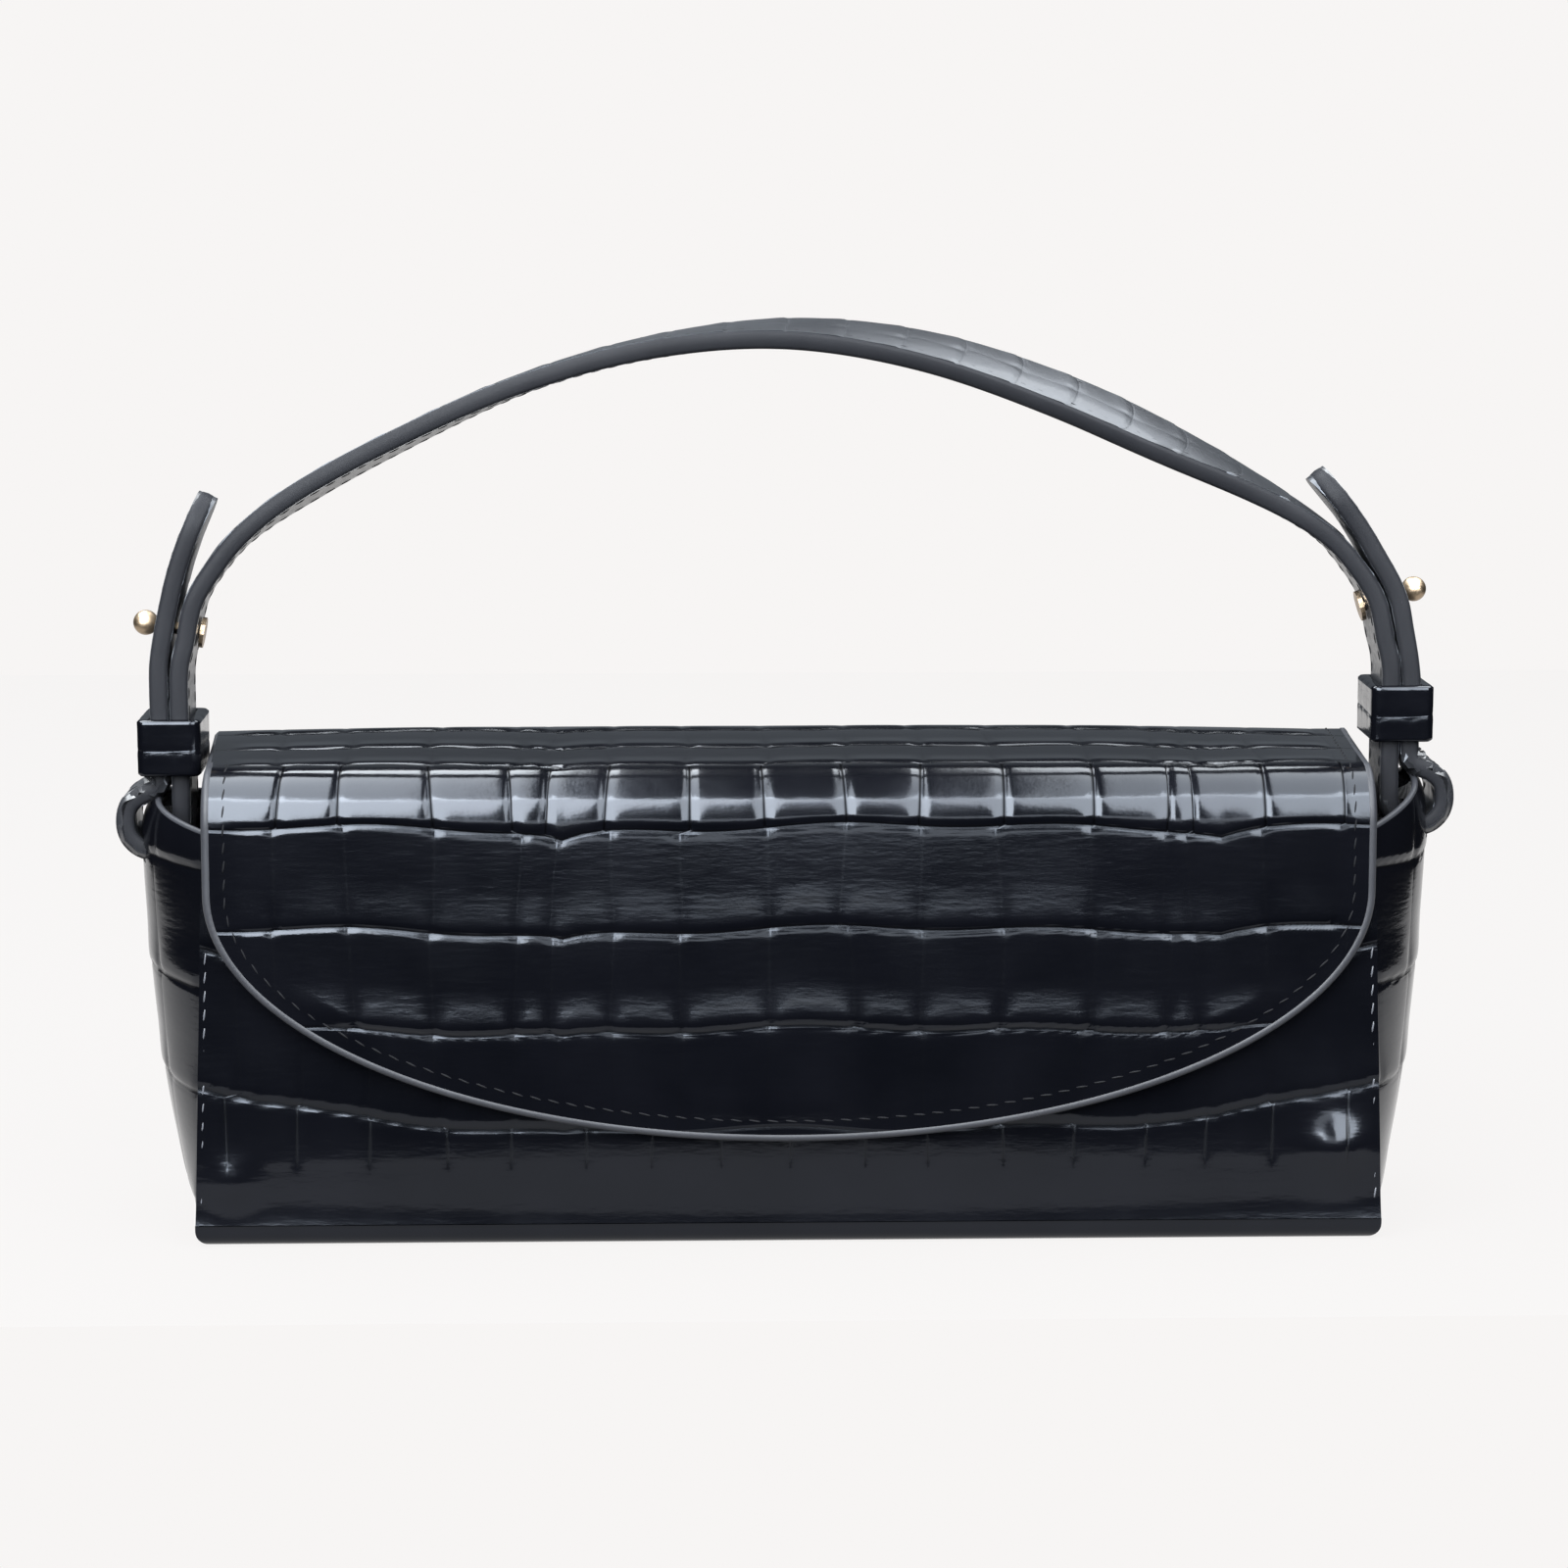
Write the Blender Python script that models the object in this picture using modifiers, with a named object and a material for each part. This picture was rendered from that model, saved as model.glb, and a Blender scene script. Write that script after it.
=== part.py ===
"""Top handle bag: a flap bag in embossed leather, with a strap handle threaded through its gussets.

The bag stands on the ground plane. Its front faces -Y, its width runs along X, and lengths are in metres.
"""

import math

import bmesh
import bpy
import numpy as np
from mathutils import Matrix, Vector

# Body
BODY_WIDTH = 0.237
BODY_DEPTH = 0.060
HINGE_HEIGHT = 0.0945
FRONT_WALL_DROP = 0.0060
BASE_RISE = 0.0045
BASE_EDGE_RADIUS = 0.0035
PANEL_BELLY = 0.0020

# Sheet thicknesses and clearances
LEATHER = 0.0015
WALL_BOARD = 0.0012
BASE_BOARD = 0.0020
LINING = 0.0005
FIT_GAP = 0.0003
CUT_OVERRUN = 0.010

# Gussets: how far they swell out, and the notched top edge that the strap passes
GUSSET_LEATHER = 0.0014
GUSSET_SWELL = 0.0155
GUSSET_SHOULDER_DROP = 0.0092
GUSSET_PEAK_RISE = 0.0128
GUSSET_LINING_DROP = 0.0035
SWELL_START_SHARE = 0.02
SWELL_POWER = 0.36
PEAK_DRAWN_IN_SHARE = 0.30
PEAK_DRAWN_IN_POWER = 8

# Flap
FLAP_SIDE_INSET = 0.001
BACK_ROLL_RADIUS = 0.004
FLAP_CLEARANCE = 0.0005
FRONT_ROLL_RADIUS = 0.011
FLAP_SIDE_STRAIGHT = 0.0139
FLAP_TONGUE = 0.050
FLAP_LEATHER = 0.0012
FLAP_CORE = 0.0008
FLAP_LINING = 0.0006

# Hidden magnet in the front wall, and the steel disc that it holds in the flap
MAGNET_RADIUS = 0.007
MAGNET_ABOVE_TONGUE = 0.0164

# Strap handle: two leathers sewn face to face
STRAP_WIDTH = 0.016
STRAP_LEATHER = 0.00175
STRAND_GAP = 0.0004
STRAND_STANDOFF = 0.0067
PIVOT_RISE = 0.0270
HANDLE_RISE = 0.0647
FIXED_END_GAP = 0.0004
END_FADE = 0.024
ARCH_TWIST = math.radians(15)
TWIST_PEAK_SHARE = 0.52
TWIST_LEFT_SHARE = -0.35
TWIST_RIGHT_SHARE = 0.82

# Half of the arch, from the pivot up to the crown, as shares of the half span and of the rise
ARCH_SHARES = (
    (0.997, -0.060),
    (0.989, 0.000),
    (0.974, 0.131),
    (0.944, 0.232),
    (0.895, 0.345),
    (0.812, 0.464),
    (0.665, 0.626),
    (0.443, 0.828),
    (0.223, 0.954),
)

# Free tips of the strap, as shares of the half span and of the rise
LEFT_TIP_SHARES = (
    (1.0320, -0.054),
    (1.0240, 0.0386),
    (1.0136, 0.131),
    (1.0016, 0.224),
    (0.985, 0.317),
    (0.965, 0.410),
    (0.952, 0.468),
)
RIGHT_TIP_SHARES = (
    (1.029, -0.054),
    (1.020, 0.0386),
    (1.011, 0.124),
    (0.996, 0.193),
    (0.970, 0.278),
    (0.947, 0.352),
    (0.918, 0.430),
    (0.893, 0.490),
    (0.876, 0.532),
)

# Loops of the strap through the gussets, with the return path as shares of the loop's radius
LOOP_RADIUS = 0.0058
LOOP_RETURN_SHARES = ((0.897, 0.672), (0.517, 1.086), (0.034, 1.362))
LOOP_STRAIGHT_SHARE = 1.672
LEFT_LOOP_DROP = 0.0160
RIGHT_LOOP_DROP = 0.0120
SLOT_SIDE_GAP = 0.0004
SLOT_BELOW = 0.0023
SLOT_ABOVE = 0.0036

# Keepers that slide on the two strands
KEEPER_WALL = 0.0022
KEEPER_HEIGHT = 0.0116
KEEPER_CORNER_RADIUS = 0.0020
LEFT_KEEPER_RISE = 0.0160
RIGHT_KEEPER_RISE = 0.0182

# Studs that button the two strands together, and the screws that hold them from inside
LEFT_STUD_RISE = 0.0023
RIGHT_STUD_RISE = 0.0076
STUD_HEAD_RADIUS = 0.0026
STUD_POST_RADIUS = 0.0013
STUD_BORE_RADIUS = 0.0009
STUD_BORE_DEPTH = 0.0040
SCREW_HEAD_RADIUS = 0.0032
SCREW_HEAD_THICKNESS = 0.0009
SCREW_SHANK_RADIUS = 0.0006
SCREW_SHANK_LENGTH = 0.0036

# Counts of rows, columns and steps
PANEL_COLUMNS = 12
PANEL_ROWS = 6
GUSSET_COLUMNS = 10
GUSSET_ROWS = 12
FLAP_COLUMNS = 20
FLAP_ROLL_ROWS = 5
FLAP_HANG_ROWS = 5
BACK_ROLL_ROWS = 4
ARCH_ROWS = 52
STRAP_COLUMNS = 6
ROWS_PER_KNOT = 2
TIP_ROWS = 8
LOOP_ARC_STEPS = 6
CORNER_STEPS = 4
TURNED_STEPS = 20
HEAD_ARC_STEPS = 8
HOLE_SIDES = 20
PATH_STEPS = 24
NORMAL_STEP_SHARE = 0.0005
MERGE_DISTANCE = 0.00001

# Sizes worked out from those above
FLAP_TOTAL = FLAP_LEATHER + FLAP_CORE + FLAP_LINING + 2 * FIT_GAP
WALL_BOTTOM = BASE_RISE + FIT_GAP
FRONT_HEIGHT = HINGE_HEIGHT - FRONT_WALL_DROP
FLAP_WIDTH = BODY_WIDTH - 2 * FLAP_SIDE_INSET
FLAP_TOP_HEIGHT = HINGE_HEIGHT + BACK_ROLL_RADIUS
GUSSET_TOTAL = GUSSET_LEATHER + FIT_GAP + LINING
GUSSET_HALF_DEPTH = BODY_DEPTH / 2 - LEATHER - FIT_GAP
LINER_WIDTH = BODY_WIDTH - 2 * (GUSSET_TOTAL + FIT_GAP)
FLAP_FACE_Y = -(BODY_DEPTH / 2 + FLAP_CLEARANCE + FLAP_TOTAL)
FOLD_Y = FLAP_FACE_Y + FRONT_ROLL_RADIUS
ROLL_END_HEIGHT = FLAP_TOP_HEIGHT - FRONT_ROLL_RADIUS
FLAP_SIDE_HEIGHT = ROLL_END_HEIGHT - FLAP_SIDE_STRAIGHT
MAGNET_HEIGHT = FLAP_SIDE_HEIGHT - FLAP_TONGUE + MAGNET_ABOVE_TONGUE
GUSSET_SHOULDER_HEIGHT = HINGE_HEIGHT - GUSSET_SHOULDER_DROP
STRAP_HALF_SPAN = BODY_WIDTH / 2 + STRAND_STANDOFF
PIVOT_HEIGHT = HINGE_HEIGHT + PIVOT_RISE
STRAP_THICKNESS = 2 * STRAP_LEATHER + FIT_GAP
END_RADIUS = STRAP_WIDTH / 2
OUTER_STRAND_X = STRAP_HALF_SPAN + STRAP_THICKNESS + STRAND_GAP
FIXED_END_HEIGHT = PIVOT_HEIGHT - END_RADIUS - FIXED_END_GAP
HOLE_RADIUS = STUD_POST_RADIUS + FIT_GAP

# Looks: colour, roughness and metallic of each material
CROC_LEATHER = ((0.006, 0.007, 0.010, 1.0), 0.16, 0.0)
STRAP_UNDERSIDE = ((0.012, 0.013, 0.016, 1.0), 0.35, 0.0)
BLACK_LINING = ((0.010, 0.010, 0.012, 1.0), 0.85, 0.0)
GREY_BOARD = ((0.22, 0.20, 0.18, 1.0), 0.90, 0.0)
BRASS = ((0.62, 0.47, 0.28, 1.0), 0.28, 1.0)
STEEL = ((0.45, 0.45, 0.46, 1.0), 0.35, 1.0)


def start_scene():
    """Empties the scene and makes the two collections."""
    for old in list(bpy.data.objects):
        bpy.data.objects.remove(old)
    made = []
    for name in ("top_handle_bag", "cutters"):
        collection = bpy.data.collections.new(name)
        bpy.context.scene.collection.children.link(collection)
        made.append(collection)
    made[1].hide_render = True
    return made


PARTS, CUTTERS = start_scene()


def paint(obj, look):
    """Gives a piece its own material."""
    colour, roughness, metallic = look
    material = bpy.data.materials.new(obj.name)
    material.use_nodes = True
    shader = material.node_tree.nodes["Principled BSDF"]
    shader.inputs["Base Color"].default_value = colour
    shader.inputs["Roughness"].default_value = roughness
    shader.inputs["Metallic"].default_value = metallic
    obj.data.materials.append(material)


def new_piece(name, mesh_data, look):
    obj = bpy.data.objects.new(name, mesh_data)
    PARTS.objects.link(obj)
    paint(obj, look)
    return obj


def mesh_from(shape, name):
    """Turns a bmesh into mesh data and frees it."""
    data = bpy.data.meshes.new(name)
    shape.to_mesh(data)
    shape.free()
    return data


def round_shading(obj, angle=math.radians(35)):
    obj.data.shade_smooth()
    obj.data.set_sharp_from_angle(angle=angle)


def unit(vector):
    return vector / np.linalg.norm(vector)


def surface_normal(surface, u, v):
    """Outward normal of a surface whose u and v run from 0 to 1."""
    low_u = max(u - NORMAL_STEP_SHARE, 0)
    low_v = max(v - NORMAL_STEP_SHARE, 0)
    high_u = min(u + NORMAL_STEP_SHARE, 1)
    high_v = min(v + NORMAL_STEP_SHARE, 1)
    along_u = unit(surface(high_u, v) - surface(low_u, v))
    along_v = unit(surface(u, high_v) - surface(u, low_v))
    return unit(np.cross(along_u, along_v))


def even(share):
    return share


def closer_at_ends(share):
    """Spaces columns or rows closer towards both ends, where an outline or a section turns fast."""
    return (1 + math.sin(math.pi * (share - 0.5))) / 2


def sheet(name, surface, columns, rows, depth, thickness, look, spread=even, row_spread=even):
    """A layer of sheet: a grid laid on a surface, sunk below it by depth and thickened inwards."""
    grid = bmesh.new()
    bmesh.ops.create_grid(grid, x_segments=columns, y_segments=rows, size=1)
    for vertex in grid.verts:
        u = spread(min(max((vertex.co.x + 1) / 2, 0), 1))
        v = row_spread(min(max((vertex.co.y + 1) / 2, 0), 1))
        vertex.co = Vector(surface(u, v) - depth * surface_normal(surface, u, v))
    obj = new_piece(name, mesh_from(grid, name), look)
    solidify = obj.modifiers.new("thickness", "SOLIDIFY")
    solidify.thickness = thickness
    solidify.offset = -1
    solidify.use_even_offset = True
    round_shading(obj)
    return obj


def box(name, low, high, collection, look=None):
    """A box between two corners."""
    shape = bmesh.new()
    bmesh.ops.create_cube(shape, size=1)
    size = Vector(high) - Vector(low)
    bmesh.ops.scale(shape, vec=size, verts=shape.verts)
    bmesh.ops.translate(shape, vec=(Vector(low) + Vector(high)) / 2, verts=shape.verts)
    obj = bpy.data.objects.new(name, mesh_from(shape, name))
    collection.objects.link(obj)
    if look:
        paint(obj, look)
    return obj


def disc(name, radius, thickness, place, axis, sides, collection, look=None):
    """A round disc or rod, centred on a place, along an axis."""
    shape = bmesh.new()
    bmesh.ops.create_cone(
        shape, cap_ends=True, segments=sides, radius1=radius, radius2=radius, depth=thickness
    )
    turn = Vector(axis).to_track_quat("Z", "Y").to_matrix().to_4x4()
    obj = bpy.data.objects.new(name, mesh_from(shape, name))
    obj.matrix_world = Matrix.Translation(place) @ turn
    collection.objects.link(obj)
    if look:
        paint(obj, look)
        round_shading(obj)
    return obj


def cut(pieces, cutter):
    """Takes the cutter out of every piece, and hides it."""
    cutter.hide_render = True
    cutter.display_type = "WIRE"
    for piece in pieces:
        boolean = piece.modifiers.new(cutter.name, "BOOLEAN")
        boolean.operation = "DIFFERENCE"
        boolean.solver = "EXACT"
        boolean.object = cutter


def turned(name, profile, place, axis, look):
    """A turned piece: a profile at +X, from its top down its outer side, spun about its own Z."""
    shape = bmesh.new()
    points = [shape.verts.new((radius, 0, height)) for radius, height in profile]
    for upper, lower in zip(points, points[1:]):
        shape.edges.new((upper, lower))
    obj = new_piece(name, mesh_from(shape, name), look)
    spin = obj.modifiers.new("spin", "SCREW")
    spin.steps = TURNED_STEPS
    spin.render_steps = TURNED_STEPS
    spin.use_merge_vertices = True
    spin.merge_threshold = MERGE_DISTANCE
    turn = Vector(axis).to_track_quat("Z", "Y").to_matrix().to_4x4()
    obj.matrix_world = Matrix.Translation(place) @ turn
    return obj


def belly(x, z):
    """How far the front wall swells out at a place on it."""
    rise = (z - WALL_BOTTOM) / (ROLL_END_HEIGHT - WALL_BOTTOM)
    if not 0 < rise < 1:
        return 0.0
    return PANEL_BELLY * (1 - (2 * x / BODY_WIDTH) ** 2) * math.sin(math.pi * rise)


def front_wall(width):
    """Outer face of the front wall, over a given width."""

    def surface(u, v):
        x = width * (u - 0.5)
        z = WALL_BOTTOM + (FRONT_HEIGHT - WALL_BOTTOM) * v
        return np.array((x, -BODY_DEPTH / 2 - belly(x, z), z))

    return surface


def back_wall(width):
    """Outer face of the back wall, flat, over a given width."""

    def surface(u, v):
        top = HINGE_HEIGHT - FIT_GAP
        return np.array((width * (0.5 - u), BODY_DEPTH / 2, WALL_BOTTOM + (top - WALL_BOTTOM) * v))

    return surface


def make_walls():
    """Front and back walls: leather, board and lining."""
    board_depth = LEATHER + FIT_GAP
    lining_depth = board_depth + WALL_BOARD + FIT_GAP
    for side, wall, columns, rows in (
        ("front", front_wall, PANEL_COLUMNS, PANEL_ROWS),
        ("back", back_wall, 1, 1),
    ):
        sheet(f"{side}_panel", wall(BODY_WIDTH), columns, rows, 0, LEATHER, CROC_LEATHER)
        board = sheet(
            f"{side}_board", wall(LINER_WIDTH), columns, rows, board_depth, WALL_BOARD, GREY_BOARD
        )
        sheet(f"{side}_lining", wall(LINER_WIDTH), columns, rows, lining_depth, LINING, BLACK_LINING)
        if side == "front":
            front_y = -BODY_DEPTH / 2 - belly(0, MAGNET_HEIGHT)
            place = (0, front_y + board_depth + WALL_BOARD / 2, MAGNET_HEIGHT)
            disc(
                "body_magnet", MAGNET_RADIUS, WALL_BOARD, place, (0, -1, 0), HOLE_SIDES, PARTS, STEEL
            )
            hole = disc(
                "board_hole", MAGNET_RADIUS + FIT_GAP, CUT_OVERRUN, place, (0, -1, 0), HOLE_SIDES, CUTTERS
            )
            cut([board], hole)


def make_base():
    """Base: a tray of leather with rounded lower edges, its board and its lining."""
    shape = bmesh.new()
    bmesh.ops.create_cube(shape, size=1)
    bmesh.ops.scale(shape, vec=(BODY_WIDTH, BODY_DEPTH, BASE_RISE), verts=shape.verts)
    bmesh.ops.translate(shape, vec=(0, 0, BASE_RISE / 2), verts=shape.verts)
    lid = [face for face in shape.faces if face.normal.z > 0.5]
    bmesh.ops.delete(shape, geom=lid, context="FACES_ONLY")
    low_edges = [edge for edge in shape.edges if all(v.co.z < BASE_RISE / 2 for v in edge.verts)]
    bmesh.ops.bevel(
        shape, geom=low_edges, offset=BASE_EDGE_RADIUS, segments=3, profile=0.5, affect="EDGES"
    )
    tray = new_piece("base_panel", mesh_from(shape, "base_panel"), CROC_LEATHER)
    solidify = tray.modifiers.new("thickness", "SOLIDIFY")
    solidify.thickness = LEATHER
    solidify.offset = -1
    solidify.use_even_offset = True
    round_shading(tray)

    half_width = BODY_WIDTH / 2 - BASE_EDGE_RADIUS - FIT_GAP
    half_depth = BODY_DEPTH / 2 - BASE_EDGE_RADIUS - FIT_GAP
    bottom = LEATHER + FIT_GAP
    for name, thickness, look in (
        ("base_board", BASE_BOARD, GREY_BOARD),
        ("base_lining", LINING, BLACK_LINING),
    ):
        low = (-half_width, -half_depth, bottom)
        high = (half_width, half_depth, bottom + thickness)
        box(name, low, high, PARTS, look)
        bottom += thickness + FIT_GAP


def gusset_surface(sign, peak, drop):
    """Outer face of a gusset: swells out between the walls and ends in a ridge that both edges fall from."""
    full = (1 + SWELL_START_SHARE) ** SWELL_POWER - SWELL_START_SHARE**SWELL_POWER

    def surface(u, v):
        across = 2 * u - 1
        top = peak - (peak - GUSSET_SHOULDER_HEIGHT) * abs(across) - drop
        z = WALL_BOTTOM + (top - WALL_BOTTOM) * v
        rise = (z - WALL_BOTTOM) / (peak - WALL_BOTTOM)
        swell = ((rise + SWELL_START_SHARE) ** SWELL_POWER - SWELL_START_SHARE**SWELL_POWER) / full
        swell *= 1 - PEAK_DRAWN_IN_SHARE * rise**PEAK_DRAWN_IN_POWER
        x = BODY_WIDTH / 2 + GUSSET_SWELL * swell * (1 - across**2)
        return np.array((sign * x, sign * GUSSET_HALF_DEPTH * across, z))

    return surface


def make_gusset(side, sign, loop_bottom):
    """A gusset and its lining, with the slot that the strap passes."""
    peak = loop_bottom + GUSSET_PEAK_RISE
    leather = sheet(
        f"{side}_gusset", gusset_surface(sign, peak, 0), GUSSET_COLUMNS, GUSSET_ROWS, 0,
        GUSSET_LEATHER, CROC_LEATHER, row_spread=closer_at_ends,
    )
    lining = sheet(
        f"{side}_gusset_lining", gusset_surface(sign, peak, GUSSET_LINING_DROP), GUSSET_COLUMNS,
        GUSSET_ROWS, GUSSET_LEATHER + FIT_GAP, LINING, BLACK_LINING, row_spread=closer_at_ends,
    )
    slot_half = STRAP_WIDTH / 2 + SLOT_SIDE_GAP
    near_x = sign * STRAP_HALF_SPAN
    far_x = sign * (STRAP_HALF_SPAN + 2 * LOOP_RADIUS + STRAP_THICKNESS)
    low = (min(near_x, far_x), -slot_half, loop_bottom - SLOT_BELOW)
    high = (max(near_x, far_x), slot_half, loop_bottom + SLOT_ABOVE)
    cut([leather, lining], box(f"{side}_slot", low, high, CUTTERS))


def flap_top_surface(u, v):
    """Outer face of the flap from the hinge line, round the back roll and across the top."""
    x = FLAP_WIDTH * (0.5 - u)
    roll_share = BACK_ROLL_ROWS / (BACK_ROLL_ROWS + 1)
    centre_y = BODY_DEPTH / 2 - BACK_ROLL_RADIUS
    if v < roll_share:
        turn = math.pi / 2 * v / roll_share
        y = centre_y + BACK_ROLL_RADIUS * math.cos(turn)
        return np.array((x, y, HINGE_HEIGHT + BACK_ROLL_RADIUS * math.sin(turn)))
    across = (v - roll_share) / (1 - roll_share)
    return np.array((x, centre_y + (FOLD_Y + FIT_GAP - centre_y) * across, FLAP_TOP_HEIGHT))


def flap_front_surface(u, v):
    """Outer face of the flap round the front roll and down to its half-ellipse hem."""
    x = FLAP_WIDTH * (0.5 - u)
    roll_share = FLAP_ROLL_ROWS / (FLAP_ROLL_ROWS + FLAP_HANG_ROWS)
    if v < roll_share:
        turn = math.pi / 2 * v / roll_share
        y = FOLD_Y - FRONT_ROLL_RADIUS * math.sin(turn)
        return np.array((x, y, ROLL_END_HEIGHT + FRONT_ROLL_RADIUS * math.cos(turn)))
    hem = FLAP_SIDE_HEIGHT - FLAP_TONGUE * math.sqrt(max(0, 1 - (2 * x / FLAP_WIDTH) ** 2))
    z = ROLL_END_HEIGHT + (hem - ROLL_END_HEIGHT) * (v - roll_share) / (1 - roll_share)
    return np.array((x, FLAP_FACE_Y - belly(x, z), z))


def make_flap():
    """Flap: leather, core and lining, each split at the fold line. Returns the top and the front pieces."""
    top_pieces = []
    front_pieces = []
    depth = 0
    for layer, thickness, look in (
        ("leather", FLAP_LEATHER, CROC_LEATHER),
        ("core", FLAP_CORE, GREY_BOARD),
        ("lining", FLAP_LINING, BLACK_LINING),
    ):
        top = sheet(
            f"flap_top_{layer}", flap_top_surface, 1, BACK_ROLL_ROWS + 1, depth, thickness, look
        )
        front = sheet(
            f"flap_front_{layer}", flap_front_surface, FLAP_COLUMNS, FLAP_ROLL_ROWS + FLAP_HANG_ROWS,
            depth, thickness, look, spread=closer_at_ends,
        )
        top_pieces.append(top)
        front_pieces.append(front)
        if layer == "core":
            face_y = FLAP_FACE_Y - belly(0, MAGNET_HEIGHT)
            place = (0, face_y + depth + thickness / 2, MAGNET_HEIGHT)
            steel = disc(
                "flap_magnet", MAGNET_RADIUS, thickness, place, (0, -1, 0), HOLE_SIDES, PARTS, STEEL
            )
            hole = disc(
                "core_hole", MAGNET_RADIUS + FIT_GAP, CUT_OVERRUN, place, (0, -1, 0), HOLE_SIDES, CUTTERS
            )
            cut([front], hole)
            front_pieces.append(steel)
        depth += thickness + FIT_GAP
    return top_pieces, front_pieces


class Path:
    """A smooth path in the X and Z plane through hand-set knots, read by the distance along it."""

    def __init__(self, knots):
        knots = np.array(knots, float)
        legs = np.linalg.norm(np.diff(knots, axis=0), axis=1)
        before = np.concatenate(([knots[0]], knots[:-1]))
        after = np.concatenate((knots[1:], [knots[-1]]))
        reach = np.concatenate((legs[:1], legs[:-1] + legs[1:], legs[-1:]))
        slopes = (after - before) / reach[:, None]
        points = []
        for start, end, leave, arrive, leg in zip(knots, knots[1:], slopes, slopes[1:], legs):
            for t in np.arange(PATH_STEPS) / PATH_STEPS:
                points.append(
                    start * (1 + 2 * t) * (1 - t) ** 2
                    + leave * leg * t * (1 - t) ** 2
                    + end * t**2 * (3 - 2 * t)
                    + arrive * leg * t**2 * (t - 1)
                )
        points.append(knots[-1])
        self.points = np.array(points)
        steps = np.linalg.norm(np.diff(self.points, axis=0), axis=1)
        self.distances = np.concatenate(([0], np.cumsum(steps)))
        self.length = self.distances[-1]
        self.knot_distances = self.distances[::PATH_STEPS]

    def at(self, distance):
        """Place on the path, which runs straight on past both of its ends."""
        inside = min(max(distance, 0), self.length)
        place = np.array([np.interp(inside, self.distances, axis) for axis in self.points.T])
        return place + (distance - inside) * self.direction(inside)

    def by_knots(self, share):
        """Spaces rows so that every stretch between two knots gets as many of them."""
        place = share * (len(self.knot_distances) - 1)
        return np.interp(place, np.arange(len(self.knot_distances)), self.knot_distances) / self.length

    def direction(self, distance):
        step = NORMAL_STEP_SHARE * self.length
        low = min(max(distance - step, 0), self.length)
        high = min(max(distance + step, 0), self.length)
        ends = [np.array([np.interp(end, self.distances, axis) for axis in self.points.T])
                for end in (low, high)]
        return unit(ends[1] - ends[0])


def arch_twist(x):
    """How far the arch leans its outer face forwards at a place along its span."""
    share = x / STRAP_HALF_SPAN
    end = TWIST_LEFT_SHARE if share < TWIST_PEAK_SHARE else TWIST_RIGHT_SHARE
    away = min((share - TWIST_PEAK_SHARE) / (end - TWIST_PEAK_SHARE), 1)
    return ARCH_TWIST * (1 + math.cos(math.pi * away)) / 2


def no_twist(x):
    return 0


def strand_surface(path, side, lift, round_ends, twist):
    """Surface of a strap strand, lifted off its middle: u runs across its width, v along its path.

    Its upper face looks to the left of the path on the right-hand side, and is mirrored on the left.
    A round end is a half circle as wide as the strap.
    """
    reach = path.length

    def surface(u, v):
        across = 2 * u - 1
        tuck = END_RADIUS * (1 - math.sqrt(max(0, 1 - across**2)))
        distance = reach * v
        if round_ends:
            distance += tuck * max(0, 1 - reach * v / END_FADE)
            distance -= tuck * max(0, 1 - reach * (1 - v) / END_FADE)
        place = path.at(distance)
        along = path.direction(min(max(distance, 0), reach))
        out = np.array((-side * along[1], 0, along[0]))
        lean = twist(side * place[0])
        back = np.array((0, 1, 0))
        width = math.cos(lean) * back + math.sin(lean) * out
        up = math.cos(lean) * out - math.sin(lean) * back
        middle = np.array((side * place[0], 0, place[1]))
        return middle - side * across * STRAP_WIDTH / 2 * width + lift * up

    return surface


def strand(name, path, side, columns, rows, round_ends=False, twist=no_twist, row_spread=even):
    """The two leathers of a strand of the strap: the face on the upper side and the under leather below."""
    pieces = []
    for layer, lift, look in (
        ("face", STRAP_THICKNESS / 2, CROC_LEATHER),
        ("under", -FIT_GAP / 2, STRAP_UNDERSIDE),
    ):
        surface = strand_surface(path, side, lift, round_ends, twist)
        spread = closer_at_ends if round_ends else even
        pieces.append(
            sheet(f"{name}_{layer}", surface, columns, rows, 0, STRAP_LEATHER, look, spread, row_spread)
        )
    return pieces


def arch_path():
    """The main strand of the handle, from below the left pivot over the crown to the right one."""
    foot = (STRAP_HALF_SPAN, PIVOT_HEIGHT - END_RADIUS)
    half = [foot]
    half += [(STRAP_HALF_SPAN * x, PIVOT_HEIGHT + HANDLE_RISE * z) for x, z in ARCH_SHARES]
    left = [(-x, z) for x, z in half]
    return Path(left + [(0, PIVOT_HEIGHT + HANDLE_RISE)] + half[::-1])


def tip_path(shares):
    foot = (OUTER_STRAND_X, PIVOT_HEIGHT - END_RADIUS)
    return Path([foot] + [(STRAP_HALF_SPAN * x, PIVOT_HEIGHT + HANDLE_RISE * z) for x, z in shares])


def loop_path(loop_bottom):
    """Down the inner strand, through the gusset's slot and up outside the gusset to the outer strand."""
    centre_x = STRAP_HALF_SPAN + LOOP_RADIUS
    centre_z = loop_bottom + LOOP_RADIUS
    knots = [(STRAP_HALF_SPAN, FIXED_END_HEIGHT)]
    for step in range(LOOP_ARC_STEPS + 1):
        turn = math.pi * step / LOOP_ARC_STEPS
        knots.append((centre_x - LOOP_RADIUS * math.cos(turn), centre_z - LOOP_RADIUS * math.sin(turn)))
    knots += [(centre_x + LOOP_RADIUS * x, centre_z + LOOP_RADIUS * z) for x, z in LOOP_RETURN_SHARES]
    knots.append((OUTER_STRAND_X, centre_z + LOOP_RADIUS * LOOP_STRAIGHT_SHARE))
    knots.append((OUTER_STRAND_X, FIXED_END_HEIGHT))
    return Path(knots)


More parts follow.
